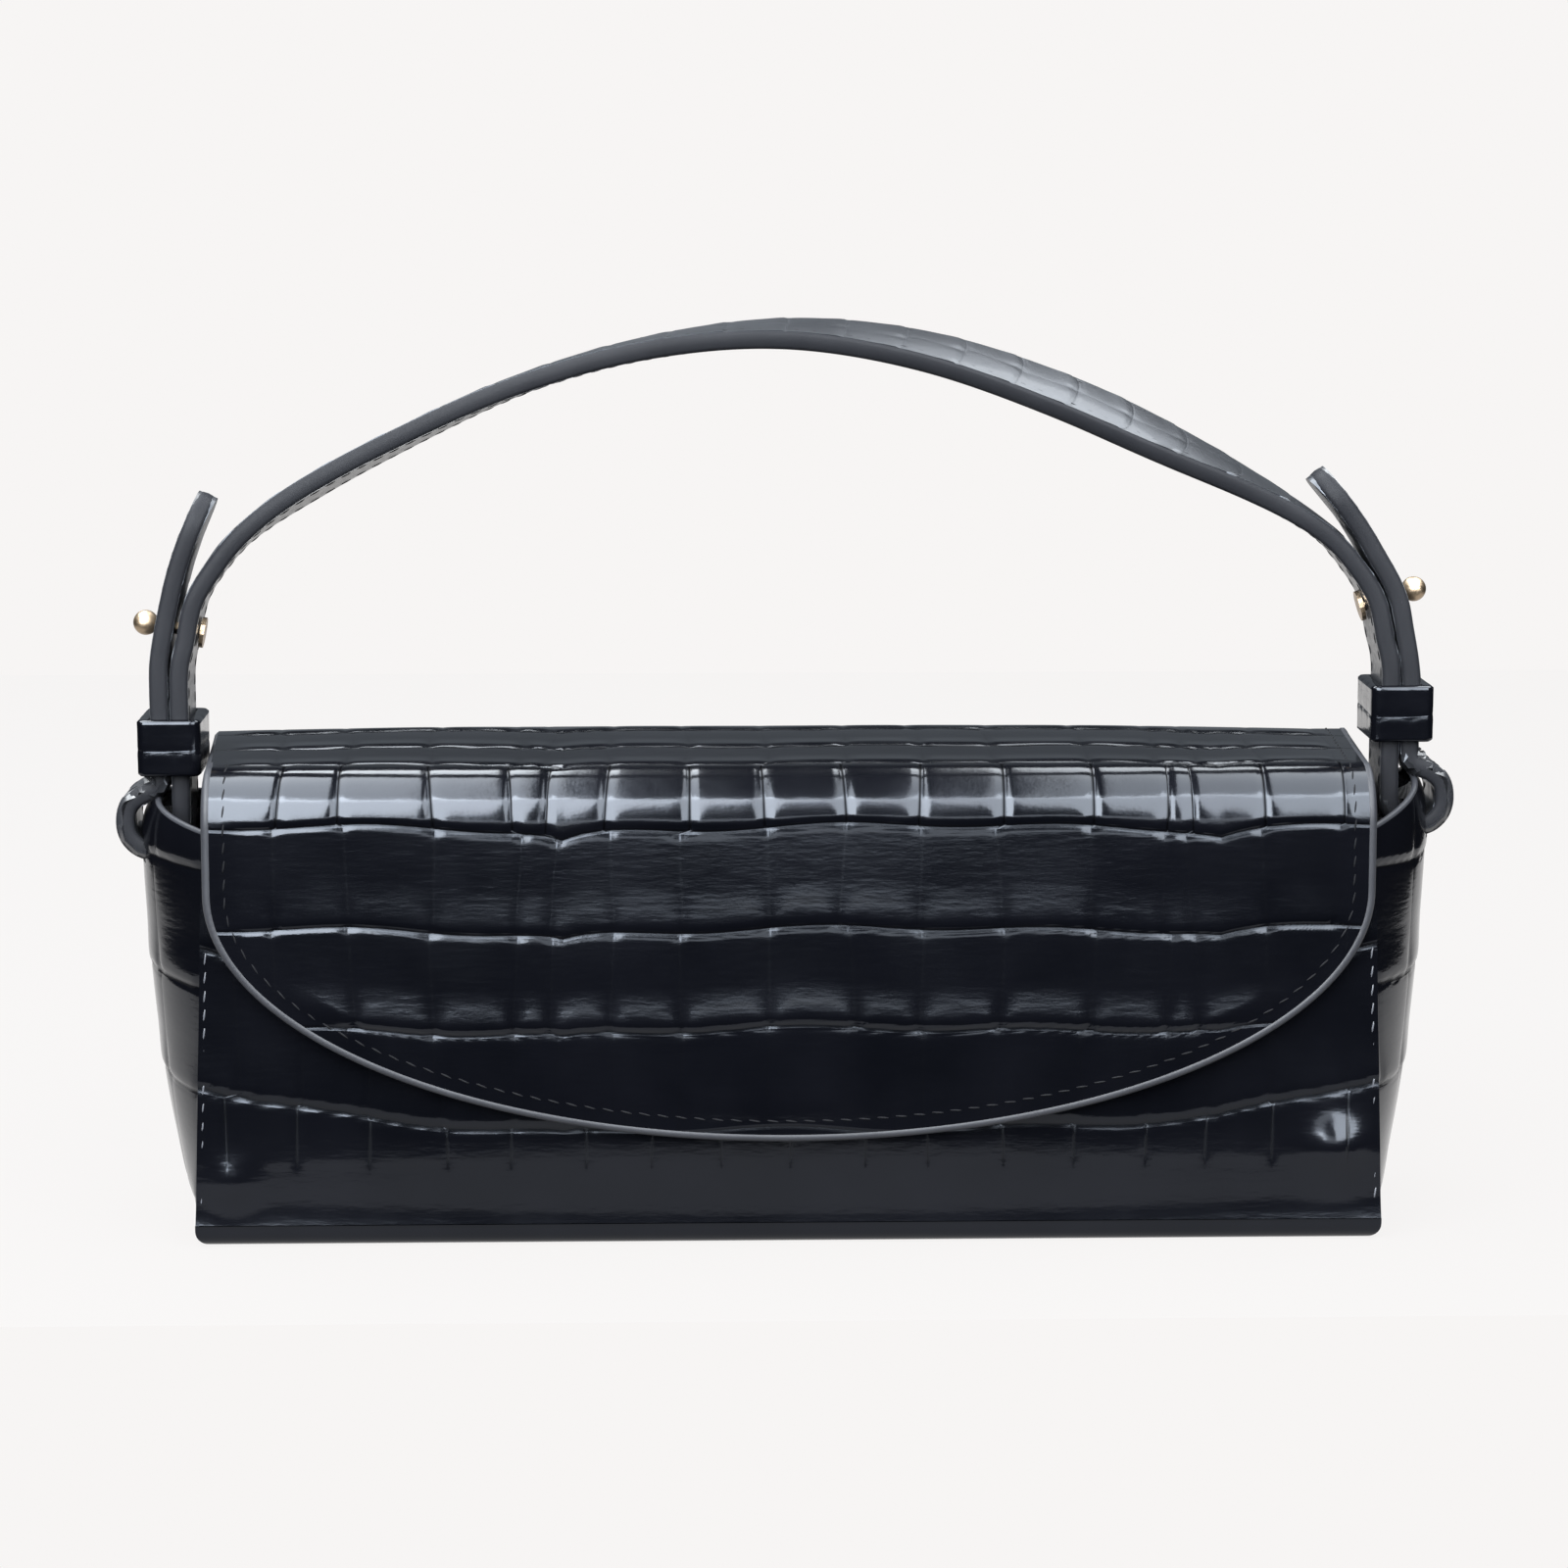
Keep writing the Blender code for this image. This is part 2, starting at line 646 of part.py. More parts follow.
def make_keeper(side, sign, bottom):
    """A rounded leather ring round the two strands."""
    middle_x = (STRAP_HALF_SPAN + OUTER_STRAND_X) / 2
    inner_x = (OUTER_STRAND_X - STRAP_HALF_SPAN + STRAP_THICKNESS) / 2 + FIT_GAP
    inner_y = STRAP_WIDTH / 2 + FIT_GAP
    corner_x = inner_x + KEEPER_WALL - KEEPER_CORNER_RADIUS
    corner_y = inner_y + KEEPER_WALL - KEEPER_CORNER_RADIUS
    outer = []
    for quarter, (x, y) in enumerate(((1, 1), (-1, 1), (-1, -1), (1, -1))):
        for step in range(CORNER_STEPS + 1):
            turn = math.pi / 2 * (quarter + step / CORNER_STEPS)
            outer.append((
                x * corner_x + KEEPER_CORNER_RADIUS * math.cos(turn),
                y * corner_y + KEEPER_CORNER_RADIUS * math.sin(turn),
            ))
    inner = [(inner_x, inner_y), (-inner_x, inner_y), (-inner_x, -inner_y), (inner_x, -inner_y)]
    name = f"{side}_keeper"
    curve = bpy.data.curves.new(name, "CURVE")
    curve.dimensions = "2D"
    curve.fill_mode = "BOTH"
    curve.extrude = KEEPER_HEIGHT / 2
    for outline in (outer, inner):
        spline = curve.splines.new("POLY")
        spline.points.add(len(outline) - 1)
        spline.use_cyclic_u = True
        for point, (x, y) in zip(spline.points, outline):
            point.co = (x, y, 0, 1)
    keeper = bpy.data.objects.new(name, curve)
    keeper.location = (sign * middle_x, 0, bottom + KEEPER_HEIGHT / 2)
    PARTS.objects.link(keeper)
    paint(keeper, CROC_LEATHER)
    return keeper


def heights_beside(path, place, out, radius):
    """Heights above a place, along a line, of the path's points that lie within a radius of the line."""
    offsets = path.points - place
    beside = np.abs(offsets @ np.array((-out[1], out[0])))
    return offsets[beside < radius] @ out


def make_stud(side, sign, arch, tip, rise, strands):
    """A stud through both strands, its head outside the tip, and the screw that holds it from inside."""
    distance = END_RADIUS + rise
    place = arch.at(arch.length - distance)
    along = arch.direction(arch.length - distance)
    out = np.array((-along[1], along[0]))
    inner_heights = heights_beside(arch, place, out, SCREW_HEAD_RADIUS)
    post_bottom = min(inner_heights[inner_heights > -STRAP_WIDTH]) - STRAP_THICKNESS / 2
    head_base = max(heights_beside(tip, place, out, STUD_HEAD_RADIUS)) + STRAP_THICKNESS / 2 + FIT_GAP
    post_length = head_base - post_bottom
    half_neck = math.asin(STUD_POST_RADIUS / STUD_HEAD_RADIUS)
    head_centre = post_length + STUD_HEAD_RADIUS * math.cos(half_neck)
    profile = []
    for step in range(HEAD_ARC_STEPS + 1):
        turn = (math.pi - half_neck) * step / HEAD_ARC_STEPS
        profile.append((STUD_HEAD_RADIUS * math.sin(turn), head_centre + STUD_HEAD_RADIUS * math.cos(turn)))
    profile += [
        (STUD_POST_RADIUS, 0),
        (STUD_BORE_RADIUS, 0),
        (STUD_BORE_RADIUS, STUD_BORE_DEPTH),
        (0, STUD_BORE_DEPTH),
    ]
    screw_profile = [
        (0, SCREW_SHANK_LENGTH),
        (SCREW_SHANK_RADIUS, SCREW_SHANK_LENGTH),
        (SCREW_SHANK_RADIUS, 0),
        (SCREW_HEAD_RADIUS, 0),
        (SCREW_HEAD_RADIUS, -SCREW_HEAD_THICKNESS),
        (0, -SCREW_HEAD_THICKNESS),
    ]
    axis = (sign * out[0], 0, out[1])
    centre = np.array((sign * place[0], 0, place[1]))
    stud_place = centre + post_bottom * np.array(axis)
    screw_place = stud_place - FIT_GAP * np.array(axis)
    stud = turned(f"{side}_stud", profile, stud_place, axis, BRASS)
    screw = turned(f"{side}_stud_screw", screw_profile, screw_place, axis, BRASS)
    drill_length = 2 * post_length + CUT_OVERRUN
    drill = disc(f"{side}_stud_hole", HOLE_RADIUS, drill_length, centre, axis, HOLE_SIDES, CUTTERS)
    cut(strands, drill)
    return [stud, screw]


def make_axis(name, place, carried, parent=None):
    """An empty on a joint's axis that carries the pieces that move with it."""
    axis = bpy.data.objects.new(name, None)
    PARTS.objects.link(axis)
    axis.location = place
    bpy.context.view_layer.update()
    for piece in carried:
        piece.parent = axis
        piece.matrix_parent_inverse = axis.matrix_world.inverted()
    if parent:
        axis.parent = parent
        axis.matrix_parent_inverse = parent.matrix_world.inverted()
    return axis


def main():
    make_walls()
    make_base()
    flap_top, flap_front = make_flap()
    lift = make_axis("flap_lift_axis", (0, BODY_DEPTH / 2, HINGE_HEIGHT), flap_top)
    make_axis("flap_fold_axis", (0, FOLD_Y, FLAP_TOP_HEIGHT), flap_front, lift)

    arch = arch_path()
    arch_pieces = strand("handle", arch, 1, STRAP_COLUMNS, ARCH_ROWS, round_ends=True, twist=arch_twist)
    handle = list(arch_pieces)
    for side, sign, loop_drop, keeper_rise, stud_rise, tip_shares in (
        ("left", -1, LEFT_LOOP_DROP, LEFT_KEEPER_RISE, LEFT_STUD_RISE, LEFT_TIP_SHARES),
        ("right", 1, RIGHT_LOOP_DROP, RIGHT_KEEPER_RISE, RIGHT_STUD_RISE, RIGHT_TIP_SHARES),
    ):
        loop_bottom = HINGE_HEIGHT - loop_drop
        make_gusset(side, sign, loop_bottom)
        loop = loop_path(loop_bottom)
        loop_rows = ROWS_PER_KNOT * (len(loop.knot_distances) - 1)
        strand(f"{side}_loop", loop, sign, 1, loop_rows, row_spread=loop.by_knots)
        tip = tip_path(tip_shares)
        tip_pieces = strand(f"{side}_tip", tip, sign, STRAP_COLUMNS, TIP_ROWS, round_ends=True)
        handle += tip_pieces
        handle += make_stud(side, sign, arch, tip, stud_rise, arch_pieces + tip_pieces)
        keeper = make_keeper(side, sign, loop_bottom + keeper_rise)
        make_axis(f"{side}_keeper_axis", keeper.location, [keeper])
    make_axis("handle_axis", (0, 0, PIVOT_HEIGHT), handle)


main()
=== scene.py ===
"""Looks of a top handle bag in black crocodile-embossed leather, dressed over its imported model.

The bag stands on the ground plane. Its front faces -Y, its width runs along X, and lengths are in metres.
"""

import math

import bpy
import numpy as np
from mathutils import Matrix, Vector


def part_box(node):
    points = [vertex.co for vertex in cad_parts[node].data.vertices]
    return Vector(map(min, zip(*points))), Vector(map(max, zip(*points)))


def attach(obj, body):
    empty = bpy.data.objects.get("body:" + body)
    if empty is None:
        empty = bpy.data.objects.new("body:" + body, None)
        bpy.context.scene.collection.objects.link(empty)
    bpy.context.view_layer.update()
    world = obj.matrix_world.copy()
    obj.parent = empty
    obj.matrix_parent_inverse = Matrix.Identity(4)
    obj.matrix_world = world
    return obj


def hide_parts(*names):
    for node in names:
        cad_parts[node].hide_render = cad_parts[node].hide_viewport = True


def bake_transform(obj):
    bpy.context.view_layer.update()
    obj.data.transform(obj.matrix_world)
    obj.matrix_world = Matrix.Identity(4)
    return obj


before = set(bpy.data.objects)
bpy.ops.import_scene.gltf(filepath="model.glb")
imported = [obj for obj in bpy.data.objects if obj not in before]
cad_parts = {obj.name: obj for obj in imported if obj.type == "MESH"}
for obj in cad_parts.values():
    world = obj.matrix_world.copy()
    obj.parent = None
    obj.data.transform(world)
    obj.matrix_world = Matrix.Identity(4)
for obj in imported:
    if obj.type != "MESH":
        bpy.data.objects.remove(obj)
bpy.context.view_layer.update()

# Body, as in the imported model
BODY_WIDTH = 0.237
BODY_DEPTH = 0.060
HINGE_HEIGHT = 0.0945
FRONT_WALL_DROP = 0.0060
BASE_RISE = 0.0045
BASE_EDGE_RADIUS = 0.0035
PANEL_BELLY = 0.0020
BASE_FLARE = 0.0032
BASE_LEAN = 0.00190
BASE_LEAN_HEIGHT = 0.0110
# A pucker has its x, its z, its radius and its height
PUCKERS = ((0.1120, 0.0195, 0.0060, 0.00210), (-0.1140, 0.0135, 0.0050, 0.00100))
LEATHER = 0.0015
WALL_BOARD = 0.0012
LINING = 0.0005
FIT_GAP = 0.0003

# Gussets
GUSSET_LEATHER = 0.0014
GUSSET_SWELL = 0.0155
GUSSET_FULLNESS = 0.0018
GUSSET_FULLNESS_POWER = 0.5
GUSSET_SHOULDER_DROP = 0.0092
GUSSET_PEAK_RISE = 0.0128
GUSSET_LINING_DROP = 0.0035
SWELL_START_SHARE = 0.02
SWELL_POWER = 0.36
PEAK_DRAWN_IN_SHARE = 0.30
PEAK_DRAWN_IN_POWER = 26
SLOT_SIDE_GAP = 0.0004
SLOT_BELOW = 0.0023
SLOT_ABOVE = 0.0036

# Flap
FLAP_SIDE_INSET = 0.001
BACK_ROLL_RADIUS = 0.004
FLAP_CLEARANCE = 0.0005
FRONT_ROLL_RADIUS = 0.011
FLAP_SIDE_STRAIGHT = 0.0139
FLAP_TONGUE = 0.050
FLAP_LEATHER = 0.0012
FLAP_CORE = 0.0008
FLAP_LINING = 0.0006
FLAP_CROWN = 0.0019
FLAP_CROWN_POWER = 0.45
FLAP_CROWN_SIDE_SHARE = 0.5
FLAP_CROWN_SIDE_POWER = 4
FLAP_DROOP = 0.0011
FLAP_DROOP_POWER = 3
FLAP_BACK_SPREAD = 0.0030
FLAP_RIM_FLAT = 0.0030
FLAP_RIM_FADE = 0.0050
CLOSER_COLUMNS_SHARE = 0.3

# Strap
STRAP_WIDTH = 0.016
STRAP_LEATHER = 0.00175
STRAND_GAP = 0.0004
STRAND_STANDOFF = 0.0067
PIVOT_RISE = 0.0270
HANDLE_RISE = 0.0647
FIXED_END_GAP = 0.0004
ARCH_SAG = 0.0015
RIGHT_SAG = 0.0025
RIGHT_SAG_SHARE = 0.60
RIGHT_SAG_REACH = 0.35
ARCH_PADDING = 0.00035
# Each twist starts, is strongest and ends at these shares of the strap's half span
RIGHT_TWIST = math.radians(22)
RIGHT_TWIST_SHARES = (-0.35, 0.52, 0.95)
LEFT_TWIST = math.radians(8)
LEFT_TWIST_SHARES = (-0.972, -0.78, -0.15)
ARCH_SHARES = (
    (0.997, -0.060),
    (0.989, 0.000),
    (0.974, 0.131),
    (0.944, 0.232),
    (0.895, 0.345),
    (0.812, 0.464),
    (0.665, 0.626),
    (0.443, 0.828),
    (0.223, 0.954),
)
LEFT_TIP_SHARES = (
    (1.0320, -0.054),
    (1.0240, 0.0386),
    (1.0136, 0.131),
    (1.0016, 0.224),
    (0.985, 0.317),
    (0.965, 0.410),
    (0.952, 0.468),
)
RIGHT_TIP_SHARES = (
    (1.029, -0.054),
    (1.020, 0.0386),
    (1.011, 0.124),
    (0.996, 0.193),
    (0.970, 0.278),
    (0.947, 0.352),
    (0.918, 0.430),
    (0.893, 0.490),
    (0.876, 0.532),
)
LOOP_RADIUS = 0.0058
LOOP_RETURN_SHARES = ((0.890, 0.620), (0.480, 0.990), (-0.040, 1.210))
LOOP_STRAIGHT_SHARE = 1.480
LOOP_ARC_STEPS = 6
LEFT_LOOP_DROP = 0.0160
RIGHT_LOOP_DROP = 0.0120
STRAP_EDGE_INSET = 0.0005
STRAP_EDGE_HALF_WIDTH = 0.0007

# Keepers and studs
KEEPER_WALL = 0.0022
KEEPER_HEIGHT = 0.0116
KEEPER_CORNER_RADIUS = 0.0020
KEEPER_RIM_RADIUS = 0.0005
LEFT_KEEPER_RISE = 0.0160
RIGHT_KEEPER_RISE = 0.0182
LEFT_STUD_RISE = 0.0023
RIGHT_STUD_RISE = 0.0076
STUD_HEAD_RADIUS = 0.0026
STUD_POST_RADIUS = 0.0013
SCREW_HEAD_RADIUS = 0.0032

# Painted edges and seams
FLAP_EDGE_HALF_WIDTH = 0.0012
FLAP_EDGE_PROUD = 0.00025
GUSSET_EDGE_HALF_WIDTH = 0.0008
STITCH_LENGTH = 0.0026
STITCH_PITCH = 0.0037
STITCH_RADIUS = 0.00022
STITCH_SINK_SHARE = 0.60
STITCH_SLANT = math.radians(8)
FLAP_STITCH_INSET = 0.0034
STRAP_STITCH_INSET = 0.0021
SIDE_STITCH_INSET = 0.0011
SIDE_STITCH_MARGIN = 0.04

# Embossing
FLAP_ROW_PLACES = (-0.078, -0.058, -0.0375, -0.0185, -0.0005, 0.0176, 0.0384, 0.0588, 0.0800, 0.1000)
PANEL_ROW_PLACES = (-0.012, 0.010, 0.0335, 0.0625, 0.0950)
BACK_ROW_PLACES = (-0.013, 0.008, 0.028, 0.049, 0.069, 0.090)
GUSSET_ROW_PLACES = (-0.020, 0.0095, 0.0335, 0.0550, 0.0780, 0.1000)
ROW_WAVE = 0.0011
ROW_WAVE_LENGTHS = (0.118, 0.047)
ROW_WAVE_SHIFT = 22.0
# A dip has its place across the leather and its depth
ROW_DIPS = ((-0.0460, 0.0030), (0.0870, 0.0022))
ROW_DIP_REACH = 0.0055
ROW_DIP_FADE = 0.085
COLUMN_PITCH = 0.0142
COLUMN_COUNT = 20
FLAP_COLUMN_SHARES = (
    -1.02, -0.883, -0.765, -0.616, -0.470, -0.410, -0.309, -0.182, -0.039, 0.096, 0.223, 0.358, 0.510,
    0.645, 0.695, 0.814, 0.949, 1.06,
)
FLAP_LIP_SHARES = (1.0, 1.0, 1.0, 1.0, 0.8, 0.72, 1.9, 1.0, 1.0)
COLUMN_SCATTER = 0.0014
COLUMN_LEAN = 0.0016
FLAT_ROW_SHARE = 0.22
LINE_SHARE = 0.030
PANEL_SMILE = 0.0080
PANEL_SMILE_POWER = 4
SMOOTH_BAND_HEIGHT = 0.0170
SMOOTH_BAND_FADE = 0.0020
ROW_GROOVE_DEPTH = 0.00028
COLUMN_GROOVE_DEPTH = 0.00020
GROOVE_HALF_WIDTH = 0.00050
TILE_CORNER_RADIUS = 0.0022
TILE_CROWN = 0.00010
TILE_SOFTNESS = 0.0012
TILE_LIP = 0.00055
TILE_LIP_POWER = 1.5
TILE_LIP_START = 0.55
STRAP_ROW_PITCH = 0.0125
STRAP_EMBOSS_SHARE = 0.45
KEEPER_ROW_PLACES = (-0.001, 0.0058, 0.0126)
KEEPER_COLUMN_PITCH = 0.0065
KEEPER_EMBOSS_SHARE = 0.22
TABLE_ROWS = 64

# Counts of rows, columns and steps
FLAP_COLUMNS = 270
FLAP_BACK_ROWS = 5
FLAP_TOP_ROWS = 42
FLAP_ROLL_ROWS = 24
FLAP_HANG_ROWS = 78
PANEL_COLUMNS = 250
PANEL_ROWS = 88
GUSSET_COLUMNS = 72
GUSSET_ROWS = 96
STRAP_COLUMNS = 20
STRAP_ROWS = 660
LINING_COLUMNS = 60
LINING_ROWS = 24
EDGE_SIDES = 10
KEEPER_ROWS = 28
KEEPER_COLUMNS = 112
TURNED_STEPS = 40
HEAD_ARC_STEPS = 16
STITCH_SEGMENTS = 8
STITCH_RINGS = 5
BASE_EDGE_STEPS = 8
LINING_EDGE_STEPS = 2
RIM_BACK_STEPS = 8
RIM_TOP_STEPS = 30
RIM_ROLL_STEPS = 14
RIM_SIDE_STEPS = 9
RIM_HEM_STEPS = 61
STRAP_END_STEPS = 14
PATH_STEPS = 24
SURFACE_STEP_SHARE = 0.0005
MERGE_DISTANCE = 0.00002
SMOOTH_ANGLE = math.radians(65)
BASE_SMOOTH_ANGLE = math.radians(35)
STUD_SMOOTH_ANGLE = math.radians(30)

# Sizes worked out from those above
FLAP_TOTAL = FLAP_LEATHER + FLAP_CORE + FLAP_LINING + 2 * FIT_GAP
WALL_BOTTOM = BASE_RISE + FIT_GAP
FRONT_HEIGHT = HINGE_HEIGHT - FRONT_WALL_DROP
FLAP_WIDTH = BODY_WIDTH - 2 * FLAP_SIDE_INSET
FLAP_TOP_HEIGHT = HINGE_HEIGHT + BACK_ROLL_RADIUS
GUSSET_TOTAL = GUSSET_LEATHER + FIT_GAP + LINING
GUSSET_HALF_DEPTH = BODY_DEPTH / 2 - LEATHER - FIT_GAP
LINER_WIDTH = BODY_WIDTH - 2 * (GUSSET_TOTAL + FIT_GAP)
FLAP_FACE_Y = -(BODY_DEPTH / 2 + FLAP_CLEARANCE + FLAP_TOTAL)
FOLD_Y = FLAP_FACE_Y + FRONT_ROLL_RADIUS
ROLL_END_HEIGHT = FLAP_TOP_HEIGHT - FRONT_ROLL_RADIUS
FLAP_SIDE_HEIGHT = ROLL_END_HEIGHT - FLAP_SIDE_STRAIGHT
BACK_ROLL_Y = BODY_DEPTH / 2 - BACK_ROLL_RADIUS
GUSSET_SHOULDER_HEIGHT = HINGE_HEIGHT - GUSSET_SHOULDER_DROP
STRAP_HALF_SPAN = BODY_WIDTH / 2 + STRAND_STANDOFF
PIVOT_HEIGHT = HINGE_HEIGHT + PIVOT_RISE
STRAP_THICKNESS = 2 * STRAP_LEATHER + FIT_GAP
END_RADIUS = STRAP_WIDTH / 2
OUTER_STRAND_X = STRAP_HALF_SPAN + STRAP_THICKNESS + STRAND_GAP
FIXED_END_HEIGHT = PIVOT_HEIGHT - END_RADIUS - FIXED_END_GAP
FLAP_ROWS = FLAP_BACK_ROWS + FLAP_TOP_ROWS + FLAP_ROLL_ROWS + FLAP_HANG_ROWS
LINING_EDGE_RADIUS = LINING / 3

# Depths of the fine grain that only the finishes show, and the range that most of a noise lies in
CROC_GRAIN = 0.00012
SKIN_GRAIN = 0.00008
PAINT_GRAIN = 0.00006
THREAD_GRAIN = 0.00004
TWILL_GRAIN = 0.00012
BOARD_GRAIN = 0.0001
METAL_GRAIN = 0.00004
NOISE_RANGE_SHARES = (0.3, 0.7)

# Camera and studio
AIM = (-0.0005, 0.0, 0.0909)
CAMERA_DISTANCE = 0.9105
CAMERA_RISE = math.radians(8.7)
CAMERA_TURN = math.radians(1.6)
CAMERA_LENS = 100.1
CAMERA_CLIP = 0.01
SENSOR_WIDTH = 36
PAPER = (0.930, 0.913, 0.905, 1.0)
FLOOR_SHADE = (0.01, 0.01, 0.01, 1.0)
FLOOR_GLOW = 0.939
FLOOR_FRONT = -0.088
FLOOR_HALF_WIDTH = 0.42
FLOOR_BACK = 0.9
SKY = (0.80, 0.89, 1.0, 1.0)
SKY_GLOW_START_SHARE = 0.76
SKY_GLOW_END_SHARE = 0.99
SKY_LOW_GLOW = 0.005
SKY_HIGH_GLOW = 0.190
LIGHT_COLOUR = (0.93, 0.97, 1.0)
# A soft box has its name, its place, what it faces, its width, its height and its power
SOFT_BOXES = (
    ("left_front_box", (-0.62, -1.22, 0.87), (0, 0, 0.11), 1.20, 1.50, 128),
    ("right_front_box", (0.70, -1.20, 0.87), (0, 0, 0.11), 1.10, 1.50, 74),
    ("left_overhead_box", (-0.68, 0.075, 1.25), (-0.68, 0.075, 0), 1.20, 2.05, 94),
    ("right_overhead_box", (0.72, 0.075, 1.25), (0.72, 0.075, 0), 1.14, 2.05, 60),
    ("low_card", (0.04, -1.25, 0.19), (0.04, 0, 0.09), 0.55, 0.18, 1.2),
)


class Amount:
    """A number that varies over a surface, worked on with plain signs."""

    def __init__(self, tree, socket):
        self.tree = tree
        self.socket = socket

    def __add__(self, other):
        return self.tree.maths("ADD", self, other)

    def __sub__(self, other):
        return self.tree.maths("SUBTRACT", self, other)

    def __rsub__(self, other):
        return self.tree.maths("SUBTRACT", other, self)

    def __mul__(self, other):
        return self.tree.maths("MULTIPLY", self, other)

    __radd__ = __add__
    __rmul__ = __mul__


class NodeTree:
    """The nodes of a material or of the world."""

    def __init__(self, owner):
        owner.use_nodes = True
        self.nodes = owner.node_tree.nodes
        self.links = owner.node_tree.links

    def fill(self, socket, value):
        if isinstance(value, Amount):
            self.links.new(value.socket, socket)
        else:
            socket.default_value = value

    def node(self, kind, settings=None, sockets=None, output=0):
        made = self.nodes.new(kind)
        for setting, value in (settings or {}).items():
            setattr(made, setting, value)
        for socket, value in (sockets or {}).items():
            self.fill(made.inputs[socket], value)
        return Amount(self, made.outputs[output])

    def maths(self, operation, first, second):
        return self.node("ShaderNodeMath", {"operation": operation}, {0: first, 1: second})

    def between(self, amount, low, high, start=0.0, end=1.0):
        """Maps an amount from one range to another."""
        return self.node(
            "ShaderNodeMapRange", None,
            {"Value": amount, "From Min": low, "From Max": high, "To Min": start, "To Max": end},
        )

    def mix_shaders(self, share, first, second):
        return self.node("ShaderNodeMixShader", None, {0: share, 1: first, 2: second})


class Finish(NodeTree):
    """A material of the bag, and the slot that it belongs to."""

    def __init__(self, name, slot):
        self.slot = slot
        self.material = bpy.data.materials.new(name)
        super().__init__(self.material)
        self.shader = self.nodes["Principled BSDF"]
        self.place = self.node("ShaderNodeTexCoord", output="Object")

    def noise(self, scale, detail=3.0, stretch=(1.0, 1.0, 1.0)):
        """Soft cloudy noise between 0 and 1, with a scale in patches per metre."""
        scales = tuple(scale * share for share in stretch)
        place = self.node("ShaderNodeVectorMath", {"operation": "MULTIPLY"}, {0: self.place, 1: scales})
        return self.node("ShaderNodeTexNoise", None, {"Vector": place, "Scale": 1.0, "Detail": detail})

    def pores(self, scale):
        """Small cells: 0 at their edges and higher inside them."""
        return self.node(
            "ShaderNodeTexVoronoi", {"feature": "DISTANCE_TO_EDGE"}, {"Vector": self.place, "Scale": scale}
        )

    def ribs(self, direction, scale, distortion, detail):
        """Parallel ribs between 0 and 1."""
        return self.node(
            "ShaderNodeTexWave", {"wave_type": "BANDS", "bands_direction": direction},
            {"Vector": self.place, "Scale": scale, "Distortion": distortion, "Detail": detail}, output="Fac",
        )

    def roughness(self, noise, low, high):
        """Roughness that follows a noise from low to high."""
        return self.between(noise, *NOISE_RANGE_SHARES, low, high)

    def mark(self, name):
        return self.node("ShaderNodeAttribute", {"attribute_name": name}, output="Fac")

    def tile_line(self, name):
        """1 on the lines between tiles and 0 inside them, from a count of tiles passed."""
        share = self.maths("FRACT", self.mark(name) + 0.5, 0.0)
        return self.between(self.maths("ABSOLUTE", share - 0.5, 0.0), LINE_SHARE, 0.0)

    def blend(self, share, first, second):
        """Mixes two colours."""
        return self.node(
            "ShaderNodeMix", {"data_type": "RGBA"}, {0: share, 6: first, 7: second}, output=2
        )

    def bump(self, height, distance):
        return self.node(
            "ShaderNodeBump", None, {"Height": height, "Distance": distance, "Strength": 1.0}
        )

    def set(self, **sockets):
        for name, value in sockets.items():
            self.fill(self.shader.inputs[name.replace("_", " ")], value)

    def under_lines(self, lines, colour):
        """Lays a matte colour over the finish along lines, as painted shade that takes their reflections
        away.
        """
        matte = self.node("ShaderNodeBsdfDiffuse", None, {"Color": colour})
        mixed = self.mix_shaders(lines, Amount(self, self.shader.outputs[0]), matte)
        self.fill(self.nodes["Material Output"].inputs["Surface"], mixed)


def glossy_croc(name, slot, tile, worn, groove, roughness, shine):
    """Glazed embossed leather: smooth tiles, thin creases between them, pores and wrinkles, and painted
    shade in the creases marked for it.
    """
    finish = Finish(name, slot)
    across = finish.tile_line("tile_across")
    lines = across * finish.mark("column_line") + finish.tile_line("tile_along") * finish.mark("row_line")
    clouds = finish.noise(42.0)
    grain = finish.noise(1600.0, 4.0)
    pores = finish.pores(950.0)
    drawn = finish.noise(190.0, 4.0, (1.0, 1.0, 4.5))
    smears = finish.noise(75.0)
    colour = finish.blend(finish.between(clouds, 0.35, 0.70), tile, worn)
    height = grain * 0.05 + pores * 0.04 + drawn * 0.30 + clouds * 0.6 - lines * 0.8
    finish.set(
        Base_Color=finish.blend(lines, colour, groove),
        Roughness=finish.roughness(smears, roughness, roughness + 0.05) + lines * 0.15,
        Normal=finish.bump(height, CROC_GRAIN),
        Coat_Weight=0.10,
        Coat_Roughness=0.06,
        Specular_IOR_Level=shine,
        Specular_Tint=(0.80, 0.87, 1.0, 1.0),
    )
    # Painted shade: a matte dark colour over the gloss along the marked column creases, so that they show no
    # reflection
    finish.under_lines(across * finish.mark("painted_shade_line"), groove)
    return finish


def plain_leather(name, dark, light, roughness, scale, grain_depth, shine):
    """Smooth leather, edge paint or waxed thread with a soft uneven surface."""
    finish = Finish(name, "strap_leather")
    clouds = finish.noise(scale)
    grain = finish.noise(scale * 14)
    finish.set(
        Base_Color=finish.blend(clouds, dark, light),
        Roughness=finish.roughness(grain, roughness, roughness + 0.12),
        Normal=finish.bump(clouds * 0.7 + grain * 0.3, grain_depth),
        Specular_IOR_Level=shine,
    )
    return finish


